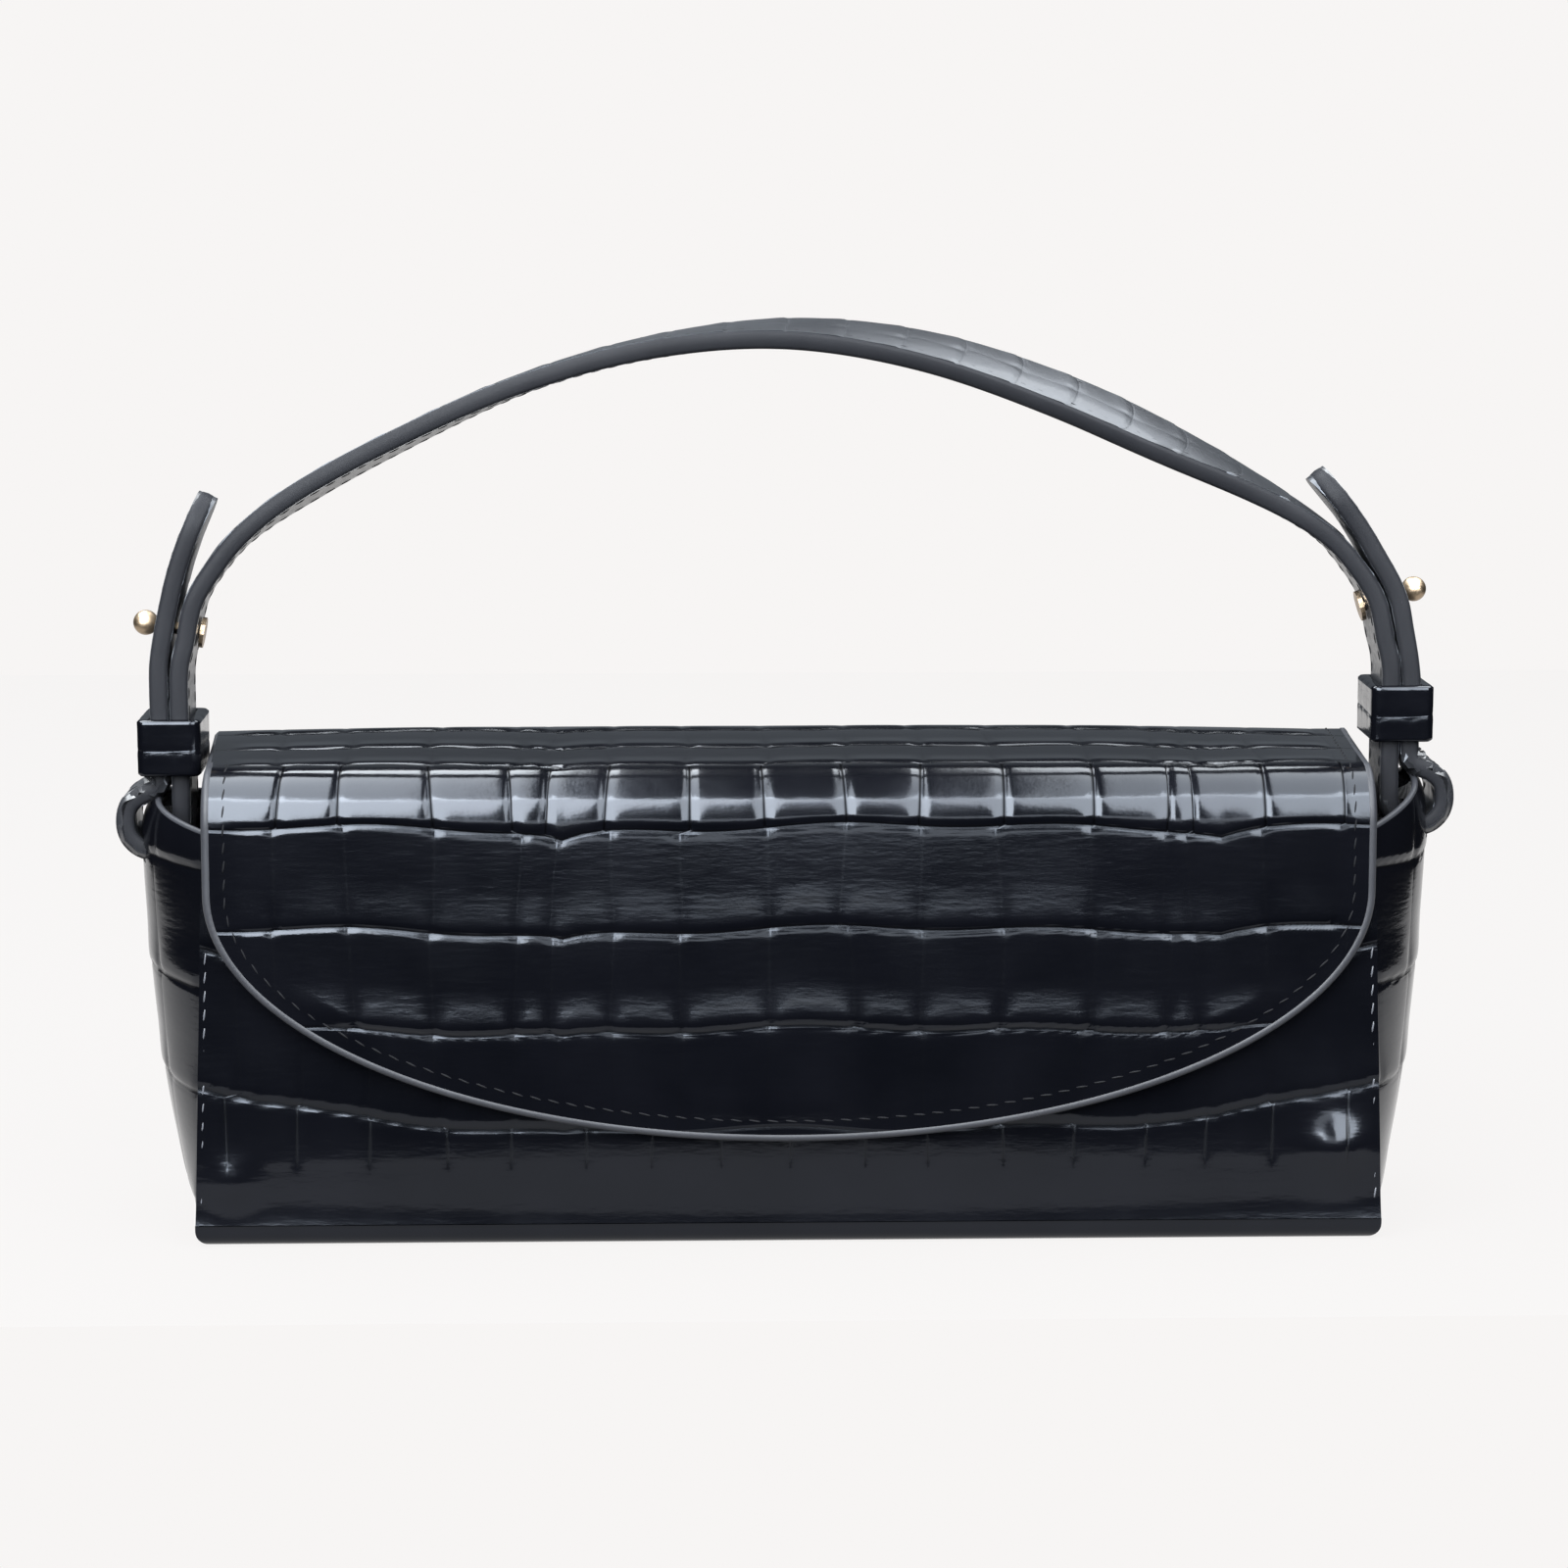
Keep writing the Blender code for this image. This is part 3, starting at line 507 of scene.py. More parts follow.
def woven_lining(name, slot, dark, light):
    """Fine twill: slanted ribs crossed by threads."""
    finish = Finish(name, slot)
    weave = finish.ribs("DIAGONAL", 420.0, 0.8, 1.0) * 0.7 + finish.ribs("Z", 520.0, 0.3, 2.0) * 0.3
    finish.set(
        Base_Color=finish.blend(weave, dark, light),
        Roughness=finish.roughness(finish.noise(90.0), 0.72, 0.85),
        Normal=finish.bump(weave, TWILL_GRAIN),
        Sheen_Weight=0.15,
    )
    return finish


def pressed_board(name, slot, dark, light):
    """Grey fibre board."""
    finish = Finish(name, slot)
    fibres = finish.noise(700.0, 5.0, (1.0, 1.0, 0.3))
    finish.set(
        Base_Color=finish.blend(fibres, dark, light),
        Roughness=finish.roughness(fibres, 0.82, 0.95),
        Normal=finish.bump(fibres, BOARD_GRAIN),
    )
    return finish


def metal(name, slot, colour, tarnish, roughness):
    """Turned and polished metal with faint lines and tarnish."""
    finish = Finish(name, slot)
    lines = finish.noise(900.0, 2.0, (0.4, 1.0, 1.0))
    clouds = finish.noise(260.0)
    finish.set(
        Base_Color=finish.blend(finish.between(clouds, 0.45, 0.75), colour, tarnish),
        Metallic=1.0,
        Roughness=finish.roughness(lines, roughness, roughness + 0.12),
        Normal=finish.bump(lines, METAL_GRAIN),
    )
    return finish


CROC = glossy_croc(
    "glazed croc leather", "embossed_leather", (0.0008, 0.0009, 0.0014, 1.0), (0.0013, 0.0014, 0.0021, 1.0),
    (0.0004, 0.0004, 0.0006, 1.0), 0.12, 0.28,
)
STRAP_SKIN = glossy_croc(
    "glazed strap leather", "embossed_leather", (0.0060, 0.0063, 0.0072, 1.0),
    (0.0090, 0.0094, 0.0105, 1.0), (0.0030, 0.0031, 0.0036, 1.0), 0.32, 0.46,
)
STRAP_BACK = plain_leather(
    "strap underside leather", (0.0100, 0.0104, 0.0120, 1.0), (0.0160, 0.0165, 0.0185, 1.0),
    0.26, 60.0, SKIN_GRAIN, 0.60,
)
EDGE_PAINT = plain_leather(
    "painted leather edge", (0.0095, 0.0100, 0.0125, 1.0), (0.0190, 0.0198, 0.0230, 1.0),
    0.42, 90.0, PAINT_GRAIN, 0.22,
)
STRAP_PAINT = plain_leather(
    "painted strap edge", (0.0060, 0.0063, 0.0076, 1.0), (0.0110, 0.0114, 0.0132, 1.0),
    0.40, 90.0, PAINT_GRAIN, 0.05,
)
THREAD = plain_leather(
    "black waxed thread", (0.0018, 0.0019, 0.0026, 1.0), (0.0036, 0.0038, 0.0048, 1.0),
    0.62, 900.0, THREAD_GRAIN, 0.10,
)
# Painted highlight: the side seams' thread is a lighter grey than the flap's black thread, so that its
# stitches show as bright dots
SEAM_THREAD_WITH_PAINTED_HIGHLIGHT = plain_leather(
    "seam thread with painted highlight", (0.030, 0.032, 0.038, 1.0), (0.050, 0.052, 0.060, 1.0),
    0.30, 900.0, THREAD_GRAIN, 0.50,
)
TWILL = woven_lining("black twill lining", "lining", (0.008, 0.008, 0.010, 1.0), (0.022, 0.022, 0.026, 1.0))
BOARD = pressed_board("fibre board", "board", (0.030, 0.028, 0.026, 1.0), (0.050, 0.047, 0.043, 1.0))
BRASS = metal("aged brass", "brass", (0.36, 0.275, 0.19, 1.0), (0.20, 0.150, 0.10, 1.0), 0.32)
STEEL = metal("plated steel", "steel", (0.46, 0.46, 0.47, 1.0), (0.34, 0.34, 0.35, 1.0), 0.30)


def new_object(name, data):
    made = bpy.data.objects.new(name, data)
    bpy.context.scene.collection.objects.link(made)
    return made


def new_piece(places, edges, faces):
    mesh = bpy.data.meshes.new("piece")
    mesh.from_pydata(places, edges, faces)
    return new_object("piece", mesh)


def new_box(low, high):
    """A box from its lowest corner to its highest."""
    bpy.ops.mesh.primitive_cube_add(size=1, location=(low + high) / 2)
    box = bpy.context.object
    box.scale = high - low
    bpy.ops.object.transform_apply(location=True, scale=True)
    return box


def select_only(obj):
    bpy.ops.object.select_all(action="DESELECT")
    obj.select_set(True)
    bpy.context.view_layer.objects.active = obj


def face_out(piece, joined=True, capped=False):
    """Turns all faces outwards, once points that meet are joined and open ends capped where asked."""
    select_only(piece)
    bpy.ops.object.mode_set(mode="EDIT")
    bpy.ops.mesh.select_all(action="SELECT")
    if joined:
        bpy.ops.mesh.remove_doubles(threshold=MERGE_DISTANCE)
    if capped:
        bpy.ops.mesh.fill_holes(sides=0)
    bpy.ops.mesh.normals_make_consistent(inside=False)
    bpy.ops.object.mode_set(mode="OBJECT")


def edit_parts(piece, kind, numbers, step):
    """Runs an edit mode step on some of a piece's faces or edges."""
    bpy.ops.object.mode_set(mode="EDIT")
    bpy.ops.mesh.select_mode(type=kind)
    bpy.ops.mesh.select_all(action="DESELECT")
    bpy.ops.object.mode_set(mode="OBJECT")
    parts = {"FACE": piece.data.polygons, "EDGE": piece.data.edges}[kind]
    for number in numbers:
        parts[number].select = True
    bpy.ops.object.mode_set(mode="EDIT")
    step()
    bpy.ops.object.mode_set(mode="OBJECT")


def apply_modifiers(obj):
    bpy.context.view_layer.objects.active = obj
    for modifier in list(obj.modifiers):
        bpy.ops.object.modifier_apply(modifier=modifier.name)


def thicken(piece, thickness, even=False):
    """Gives a sheet its thickness, inwards from its face."""
    wall = piece.modifiers.new("thickness", "SOLIDIFY")
    wall.thickness = thickness
    wall.offset = -1
    wall.use_even_offset = even
    apply_modifiers(piece)


def read_places(obj):
    places = np.empty(len(obj.data.vertices) * 3, np.float32)
    obj.data.vertices.foreach_get("co", places)
    return places.reshape(-1, 3).astype(float)


def write_places(obj, places):
    obj.data.vertices.foreach_set("co", np.asarray(places, np.float32).ravel())
    obj.data.update()


def write_marks(obj, marks):
    for name, amounts in marks.items():
        attribute = obj.data.attributes.new(name, "FLOAT", "POINT")
        attribute.data.foreach_set("value", np.asarray(amounts, np.float32))


def read_mark(obj, name):
    amounts = np.empty(len(obj.data.vertices), np.float32)
    obj.data.attributes[name].data.foreach_get("value", amounts)
    return amounts.astype(float)


def smooth(obj, angle=SMOOTH_ANGLE):
    select_only(obj)
    bpy.ops.object.shade_smooth_by_angle(angle=angle)


def dress(obj, name, finish, body=None, nodes=()):
    """Names a finished piece, gives it its finish, and hangs it on its body."""
    obj.name = name
    obj.data.name = name
    obj.data.materials.clear()
    obj.data.materials.append(finish.material)
    if nodes:
        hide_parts(*nodes)
    if body:
        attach(obj, body)
    return obj


def points(*axes):
    """Points or directions from their coordinates along X, Y and Z, each a number or an array."""
    return np.stack(np.broadcast_arrays(*axes), axis=-1)


def unit(vectors):
    return vectors / np.linalg.norm(vectors, axis=-1, keepdims=True)


def outward(surface, u, v):
    """Outward normals of a surface whose u and v run from 0 to 1."""
    low_u, high_u, low_v, high_v = (
        np.clip(share + step, 0, 1)
        for share in (u, v)
        for step in (-SURFACE_STEP_SHARE, SURFACE_STEP_SHARE)
    )
    along_u = surface(high_u, v) - surface(low_u, v)
    along_v = surface(u, high_v) - surface(u, low_v)
    return unit(np.cross(along_u, along_v))


def closer_at_sides(shares):
    """Spaces columns a little closer towards both sides, where the hem turns fast."""
    closer = (1 + np.sin(math.pi * (shares - 0.5))) / 2
    return (1 - CLOSER_COLUMNS_SHARE) * shares + CLOSER_COLUMNS_SHARE * closer


def new_grid(columns, rows):
    """A flat grid, and the shares u and v of its points."""
    bpy.ops.mesh.primitive_grid_add(x_subdivisions=columns, y_subdivisions=rows, size=2)
    grid = bpy.context.object
    flat = np.clip((read_places(grid) + 1) / 2, 0, 1)
    return grid, flat[:, 0], flat[:, 1]


def lay(surface, columns, rows, thickness, relief=None, depth=0.0, spread=None):
    """A sheet laid on a surface: its outer side carries the embossing and its inner side is smooth."""
    piece, u, v = new_grid(columns, rows)
    if spread:
        u = spread(u)
    skin = surface(u, v)
    normals = outward(surface, u, v)
    heights = 0 * u
    if relief:
        heights, marks = relief(u, v)
        write_marks(piece, marks)
    write_places(piece, skin + (heights - depth)[:, None] * normals)
    thicken(piece, thickness)
    places = read_places(piece)
    places[len(skin):2 * len(skin)] = skin - (depth + thickness) * normals
    write_places(piece, places)
    smooth(piece)
    return piece


def distances_along(points):
    """Distances from a line's first point to each of its points."""
    steps = np.linalg.norm(np.diff(points, axis=0), axis=1)
    return np.concatenate(([0], np.cumsum(steps)))


def read_rows(rows, marks, places):
    """Rows of numbers that stand at marks, read at places between them."""
    return np.stack([np.interp(places, marks, column) for column in rows.T], axis=-1)


def bead(centres, outs, ups, half_width, half_height, closed):
    """A rounded painted edge along a line of centres. It meets itself, or both of its ends are capped."""
    frames = np.hstack((centres, outs, ups))
    if closed:
        frames = np.vstack((frames, frames[:1]))
    last = len(frames) - 1
    piece, u, v = new_grid(EDGE_SIDES, last)
    here = read_rows(frames, np.arange(len(frames)), v * last)
    turn = 2 * math.pi * u[:, None]
    sideways = half_width * np.cos(turn) * here[:, 3:6]
    write_places(piece, here[:, :3] + sideways + half_height * np.sin(turn) * here[:, 6:])
    face_out(piece, capped=not closed)
    smooth(piece)
    return piece


def resampled(frames, pitch):
    """Rows of place, out and up vectors, spaced by a pitch along the line of the places."""
    distances = distances_along(frames[:, :3])
    count = int(distances[-1] / pitch)
    return read_rows(frames, distances, (np.arange(count) + 0.5) * distances[-1] / count)


def sew(lines):
    """A row of slanted stitches along each line, as one piece. A line has places, outs and ups."""
    bpy.ops.mesh.primitive_uv_sphere_add(segments=STITCH_SEGMENTS, ring_count=STITCH_RINGS, radius=1)
    pattern = bpy.context.object
    shape = read_places(pattern)
    faces = [list(face.vertices) for face in pattern.data.polygons]
    bpy.data.objects.remove(pattern)
    stitches = []
    for line in lines:
        here = resampled(line, STITCH_PITCH)
        middles, outs, ups = here[:, :3], unit(here[:, 3:6]), unit(here[:, 6:])
        runs = np.cross(ups, outs)
        slanted = math.cos(STITCH_SLANT) * runs + math.sin(STITCH_SLANT) * outs
        sides = np.cross(ups, slanted)
        raised = middles + ups * STITCH_RADIUS * (1 - 2 * STITCH_SINK_SHARE)
        stitches.append(
            raised[:, None]
            + shape[None, :, 2:3] * slanted[:, None] * STITCH_LENGTH / 2
            + shape[None, :, 0:1] * sides[:, None] * STITCH_RADIUS
            + shape[None, :, 1:2] * ups[:, None] * STITCH_RADIUS
        )
    places = np.concatenate(stitches)
    all_faces = [
        [corner + copy * len(shape) for corner in face] for copy in range(len(places)) for face in faces
    ]
    seam = new_piece(places.reshape(-1, 3).tolist(), [], all_faces)
    face_out(seam, joined=False)
    smooth(seam)
    return seam


class Emboss:
    """Rows of crocodile tiles pressed into leather. Its deep rows have deep grooves between their tiles,
    which can be marked for painted shade.
    """

    def __init__(self, seed, columns, row_places, share=1.0, deep_rows=(), painted_shade_lines=0.0, lips=None):
        chance = np.random.default_rng(seed)
        self.columns = columns
        self.shifts = chance.uniform(-COLUMN_SCATTER, COLUMN_SCATTER, (TABLE_ROWS, len(columns)))
        self.leans = chance.uniform(-COLUMN_LEAN, COLUMN_LEAN, (TABLE_ROWS, len(columns)))
        self.row_places = np.array(row_places)
        self.share = share
        self.deep_rows = deep_rows
        self.painted_shade_lines = painted_shade_lines
        self.lips = np.array(lips or [1.0] * (len(row_places) - 1))

    def row_line(self, across, along):
        """How far the lines between rows wander at a place. Each row wanders in its own way."""
        wander = sum(
            ROW_WAVE / 2 * np.sin(2 * math.pi * across / length + ROW_WAVE_SHIFT * along)
            for length in ROW_WAVE_LENGTHS
        )
        dip_share = np.clip(1 - along / ROW_DIP_FADE, 0, 1)
        for place, dip in ROW_DIPS:
            wander = wander - dip * dip_share * np.exp(-np.abs(across - place) / ROW_DIP_REACH)
        return wander

    def at(self, across, along):
        """Heights at places on the leather, and marks that tell its finish where the tiles meet and where to
        paint shade.
        """
        along = along + self.row_line(across, along)
        row = np.clip(np.searchsorted(self.row_places, along) - 1, 0, len(self.row_places) - 2)
        from_top = along - self.row_places[row]
        from_bottom = self.row_places[row + 1] - along
        row_share = np.clip(from_top / (from_top + from_bottom), 0, 1)
        table_row = row % TABLE_ROWS
        lines = [
            column + self.shifts[table_row, number] + self.leans[table_row, number] * (row_share - 0.5)
            for number, column in enumerate(self.columns)
        ]
        from_column = np.min([np.abs(across - line) for line in lines], axis=0)
        tiles_passed = sum(
            np.clip((across - line) / (following - line), 0, 1) for line, following in zip(lines, lines[1:])
        )
        from_row = np.minimum(from_top, from_bottom)
        corner_row = TILE_CORNER_RADIUS - from_row
        corner_column = TILE_CORNER_RADIUS - from_column
        rounded = np.hypot(np.maximum(corner_row, 0), np.maximum(corner_column, 0))
        inside = TILE_CORNER_RADIUS - rounded - np.minimum(np.maximum(corner_row, corner_column), 0)
        groove = np.exp(-((np.maximum(inside, 0) / GROOVE_HALF_WIDTH) ** 2))
        crown = 1 - np.exp(-np.maximum(inside, 0) / TILE_SOFTNESS)
        near_row_line = np.exp(-((from_row / (2 * GROOVE_HALF_WIDTH)) ** 2))
        column_share = np.where(np.isin(row, self.deep_rows), 1.0, FLAT_ROW_SHARE)
        column_depth = COLUMN_GROOVE_DEPTH * column_share
        groove_depth = column_depth + (ROW_GROOVE_DEPTH - column_depth) * near_row_line
        near_bottom = np.clip((row_share - TILE_LIP_START) / (1 - TILE_LIP_START), 0, 1)
        lip = TILE_LIP * self.lips[row] * near_bottom**TILE_LIP_POWER
        heights = (TILE_CROWN * column_share + lip) * crown - groove_depth * groove
        marks = {
            "tile_across": tiles_passed,
            "tile_along": row + row_share,
            "column_line": column_share * self.share,
            "row_line": self.share + 0 * across,
            # Painted shade along the column grooves of the deep rows, where the emboss asks for it
            "painted_shade_line": self.painted_shade_lines * (column_share > FLAT_ROW_SHARE),
        }
        return self.share * heights, marks


def even_columns(pitch):
    return [pitch * number for number in range(-COLUMN_COUNT, COLUMN_COUNT + 1)]


STRAP_ROW_PLACES = [STRAP_ROW_PITCH * number for number in range(TABLE_ROWS)]
# The flap's deep row runs over its front roll, and its column grooves get painted shade
FLAP_EMBOSS = Emboss(
    3, [share * FLAP_WIDTH / 2 for share in FLAP_COLUMN_SHARES], FLAP_ROW_PLACES,
    deep_rows=(4,), painted_shade_lines=1.0, lips=FLAP_LIP_SHARES,
)
FRONT_EMBOSS = Emboss(8, even_columns(COLUMN_PITCH), PANEL_ROW_PLACES, deep_rows=(3,))
BACK_EMBOSS = Emboss(11, even_columns(COLUMN_PITCH), BACK_ROW_PLACES, deep_rows=(0, 1, 2, 3, 4))
GUSSET_EMBOSS = Emboss(17, even_columns(COLUMN_PITCH), GUSSET_ROW_PLACES)
STRAP_EMBOSS = Emboss(23, [-STRAP_WIDTH, 0, STRAP_WIDTH], STRAP_ROW_PLACES, STRAP_EMBOSS_SHARE)
KEEPER_EMBOSS = Emboss(29, even_columns(KEEPER_COLUMN_PITCH), KEEPER_ROW_PLACES, KEEPER_EMBOSS_SHARE)


def belly(x, z):
    """How far the front wall swells out."""
    rise = np.clip((z - WALL_BOTTOM) / (ROLL_END_HEIGHT - WALL_BOTTOM), 0, 1)
    return PANEL_BELLY * (1 - (2 * x / BODY_WIDTH) ** 2) * np.sin(math.pi * rise)


def flare(z):
    """How much each side of the body spreads outwards near its base, where the weight settles."""
    return BASE_FLARE * np.clip(1 - z / HINGE_HEIGHT, 0, 1)


def front_wall(width):
    def surface(u, v):
        z = WALL_BOTTOM + (FRONT_HEIGHT - WALL_BOTTOM) * v
        x = (width + 2 * flare(z)) * (u - 0.5)
        foot = BASE_LEAN * np.clip(1 - z / BASE_LEAN_HEIGHT, 0, 1) ** 2
        return points(x, -BODY_DEPTH / 2 - belly(x, z) - foot, z)

    return surface


def back_wall(width):
    def surface(u, v):
        z = WALL_BOTTOM + (HINGE_HEIGHT - FIT_GAP - WALL_BOTTOM) * v
        return points((width + 2 * flare(z)) * (0.5 - u), BODY_DEPTH / 2, z)

    return surface


def front_relief(u, v):
    """The panel's rows smile with the flap's hem. Its lowest band is smooth, with puckers at its sides."""
    x, _, z = front_wall(BODY_WIDTH)(u, v).T
    smile = PANEL_SMILE * (2 * x / BODY_WIDTH) ** PANEL_SMILE_POWER
    heights, marks = FRONT_EMBOSS.at(x, ROLL_END_HEIGHT - z + smile)
    fade = np.clip((z - SMOOTH_BAND_HEIGHT) / SMOOTH_BAND_FADE + 0.5, 0, 1)
    heights = heights * fade
    for line in ("column_line", "row_line"):
        marks[line] = marks[line] * fade
    for pucker_x, pucker_z, radius, height in PUCKERS:
        away = ((x - pucker_x) ** 2 + (z - pucker_z) ** 2) / radius**2
        heights = heights + height * np.exp(-away)
    return heights, marks


def back_relief(u, v):
    x, _, z = back_wall(BODY_WIDTH)(u, v).T
    return BACK_EMBOSS.at(x, ROLL_END_HEIGHT - z)


def make_walls():
    """Front and back walls with their linings and side stitches."""
    lining_depth = LEATHER + FIT_GAP + WALL_BOARD + FIT_GAP
    for side, wall, relief in (("front", front_wall, front_relief), ("back", back_wall, back_relief)):
        face = wall(BODY_WIDTH)
        panel = lay(face, PANEL_COLUMNS, PANEL_ROWS, LEATHER, relief)
        dress(panel, f"{side}_leather", CROC, "bag", [f"{side}_panel"])
        lining = lay(wall(LINER_WIDTH), LINING_COLUMNS, LINING_ROWS, LINING, depth=lining_depth)
        dress(lining, f"{side}_twill", TWILL, "bag", [f"{side}_lining"])
        v = np.linspace(SIDE_STITCH_MARGIN, 1 - SIDE_STITCH_MARGIN, PANEL_ROWS)
        lines = []
        for inset_share in (SIDE_STITCH_INSET / BODY_WIDTH, 1 - SIDE_STITCH_INSET / BODY_WIDTH):
            u = np.full(len(v), inset_share)
            outs = np.tile((1.0, 0.0, 0.0), (len(v), 1))
            lines.append(np.hstack((face(u, v), outs, outward(face, u, v))))
        # The side stitches use the thread with the painted highlight
        dress(sew(lines), f"{side}_side_stitches", SEAM_THREAD_WITH_PAINTED_HIGHLIGHT, "bag")


def make_base():
    """Base tray with rounded lower edges, and its lining."""
    size = np.array((BODY_WIDTH + 2 * BASE_FLARE, BODY_DEPTH, BASE_RISE))
    tray = new_box(size * (-0.5, -0.5, 0), size * (0.5, 0.5, 1))
    lids = [face.index for face in tray.data.polygons if round(face.normal.z) == 1]
    edit_parts(tray, "FACE", lids, lambda: bpy.ops.mesh.delete(type="ONLY_FACE"))
    low_edges = [
        edge.index
        for edge in tray.data.edges
        if all(tray.data.vertices[corner].co.z < BASE_RISE / 2 for corner in edge.vertices)
    ]
    edit_parts(tray, "EDGE", low_edges, lambda: bpy.ops.mesh.bevel(
        offset=BASE_EDGE_RADIUS, segments=BASE_EDGE_STEPS, affect="EDGES"
    ))
    thicken(tray, LEATHER, even=True)
    smooth(tray, BASE_SMOOTH_ANGLE)
    dress(tray, "base_leather", CROC, "bag", ["base_panel"])

    lining = new_box(*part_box("base_lining"))
    edge = lining.modifiers.new("edge", "BEVEL")
    edge.width = LINING_EDGE_RADIUS
    edge.segments = LINING_EDGE_STEPS
    apply_modifiers(lining)
    smooth(lining, BASE_SMOOTH_ANGLE)
    dress(lining, "base_twill", TWILL, "bag", ["base_lining"])


def gusset_surface(sign, peak, drop):
    """Outer face of a gusset: swells out between the walls and ends in a ridge that both edges fall from."""
    full = (1 + SWELL_START_SHARE) ** SWELL_POWER - SWELL_START_SHARE**SWELL_POWER

    def surface(u, v):
        across = 2 * u - 1
        top = peak - (peak - GUSSET_SHOULDER_HEIGHT) * np.abs(across) - drop
        z = WALL_BOTTOM + (top - WALL_BOTTOM) * v
        rise = (z - WALL_BOTTOM) / (peak - WALL_BOTTOM)
        swell = ((rise + SWELL_START_SHARE) ** SWELL_POWER - SWELL_START_SHARE**SWELL_POWER) / full
        swell *= 1 - PEAK_DRAWN_IN_SHARE * rise**PEAK_DRAWN_IN_POWER
        low_share = np.clip(1 - rise, 0, 1) ** GUSSET_FULLNESS_POWER
        fuller = GUSSET_FULLNESS * low_share * np.clip(swell, 0, 1)
        x = BODY_WIDTH / 2 + flare(z) + (GUSSET_SWELL * swell + fuller) * (1 - across**2)
        return points(sign * x, sign * GUSSET_HALF_DEPTH * across, z)

    return surface


def cut_slot(pieces, low, high):
    """Cuts the strap's slot out of pieces."""
    for piece in pieces:
        cutter = new_box(low, high)
        slot = piece.modifiers.new("slot", "BOOLEAN")
        slot.operation = "DIFFERENCE"
        slot.solver = "EXACT"
        slot.object = cutter
        apply_modifiers(piece)
        bpy.data.objects.remove(cutter)


def make_gusset(side, sign, loop_bottom):
    """A gusset in embossed leather with its slot, its lining and its painted top edge."""
    peak = loop_bottom + GUSSET_PEAK_RISE
    surface = gusset_surface(sign, peak, 0)

    def relief(u, v):
        places = surface(u, v)
        return GUSSET_EMBOSS.at(sign * places[:, 1], ROLL_END_HEIGHT - places[:, 2])

    leather = lay(surface, GUSSET_COLUMNS, GUSSET_ROWS, GUSSET_LEATHER, relief)
    lining = lay(
        gusset_surface(sign, peak, GUSSET_LINING_DROP), LINING_COLUMNS // 2, LINING_ROWS, LINING,
        depth=GUSSET_LEATHER + FIT_GAP,
    )
    slot_half = STRAP_WIDTH / 2 + SLOT_SIDE_GAP
    far_x = STRAP_HALF_SPAN + 2 * LOOP_RADIUS + STRAP_THICKNESS
    low_x, high_x = sorted((sign * STRAP_HALF_SPAN, sign * far_x))
    low = np.array((low_x, -slot_half, loop_bottom - SLOT_BELOW))
    high = np.array((high_x, slot_half, loop_bottom + SLOT_ABOVE))
    cut_slot([leather, lining], low, high)
    smooth(leather)
    dress(leather, f"{side}_gusset_leather", CROC, "bag", [f"{side}_gusset"])
    dress(lining, f"{side}_gusset_twill", TWILL, "bag", [f"{side}_gusset_lining"])

    u = np.linspace(0, 1, GUSSET_COLUMNS)
    v = np.ones(GUSSET_COLUMNS)
    normals = outward(surface, u, v)
    centres = surface(u, v) - normals * GUSSET_LEATHER / 2
    runs = unit(np.gradient(centres, axis=0))
    edge = bead(centres, np.cross(runs, normals), normals, GUSSET_EDGE_HALF_WIDTH, GUSSET_LEATHER / 2, False)
    dress(edge, f"{side}_gusset_edge", EDGE_PAINT, "bag")


def hem_height(x):
    return FLAP_SIDE_HEIGHT - FLAP_TONGUE * np.sqrt(np.maximum(0, 1 - (2 * x / FLAP_WIDTH) ** 2))


def flap_stretches(v):
    """How much of the back roll, the top, the front roll and the hanging front lies before a share."""
    rows = v * FLAP_ROWS
    shares = []
    for count in (FLAP_BACK_ROWS, FLAP_TOP_ROWS, FLAP_ROLL_ROWS, FLAP_HANG_ROWS):
        shares.append(np.clip(rows / count, 0, 1))
        rows = rows - count
    return shares


def flap_place(x, back, top, roll, hang):
    y = BACK_ROLL_Y + BACK_ROLL_RADIUS * np.cos(math.pi / 2 * back)
    y = y - (BACK_ROLL_Y - FOLD_Y) * top - FRONT_ROLL_RADIUS * np.sin(math.pi / 2 * roll)
    side = 2 * x / FLAP_WIDTH
    x = x + side * FLAP_BACK_SPREAD * (1 - top)
    crown = FLAP_CROWN * (1 - FLAP_CROWN_SIDE_SHARE * side**FLAP_CROWN_SIDE_POWER)
    crown = crown - FLAP_DROOP * np.maximum(side, 0) ** FLAP_DROOP_POWER
    z = HINGE_HEIGHT + BACK_ROLL_RADIUS * np.sin(math.pi / 2 * back)
    z = z + crown * np.sin(math.pi * top**FLAP_CROWN_POWER)
    z = z - FRONT_ROLL_RADIUS * (1 - np.cos(math.pi / 2 * roll)) - (ROLL_END_HEIGHT - hem_height(x)) * hang
    return points(x, y - belly(x, z) * (hang > 0), z)


def flap_surface(u, v):
    """Outer face of the flap from the hinge line over the top and down to its half-ellipse hem."""
    return flap_place(FLAP_WIDTH * (0.5 - u), *flap_stretches(v))


def flap_relief(u, v):
    x = FLAP_WIDTH * (0.5 - u)
    back, top, roll, hang = flap_stretches(v)
    along = math.pi / 2 * FRONT_ROLL_RADIUS * roll + (ROLL_END_HEIGHT - hem_height(x)) * hang
    along = along - (BACK_ROLL_Y - FOLD_Y) * (1 - top) - math.pi / 2 * BACK_ROLL_RADIUS * (1 - back)
    heights, marks = FLAP_EMBOSS.at(x, along)
    from_rim = np.minimum(FLAP_WIDTH / 2 - np.abs(x), (ROLL_END_HEIGHT - hem_height(x)) * (1 - hang))
    return heights * np.clip((from_rim - FLAP_RIM_FLAT) / FLAP_RIM_FADE, 0, 1), marks


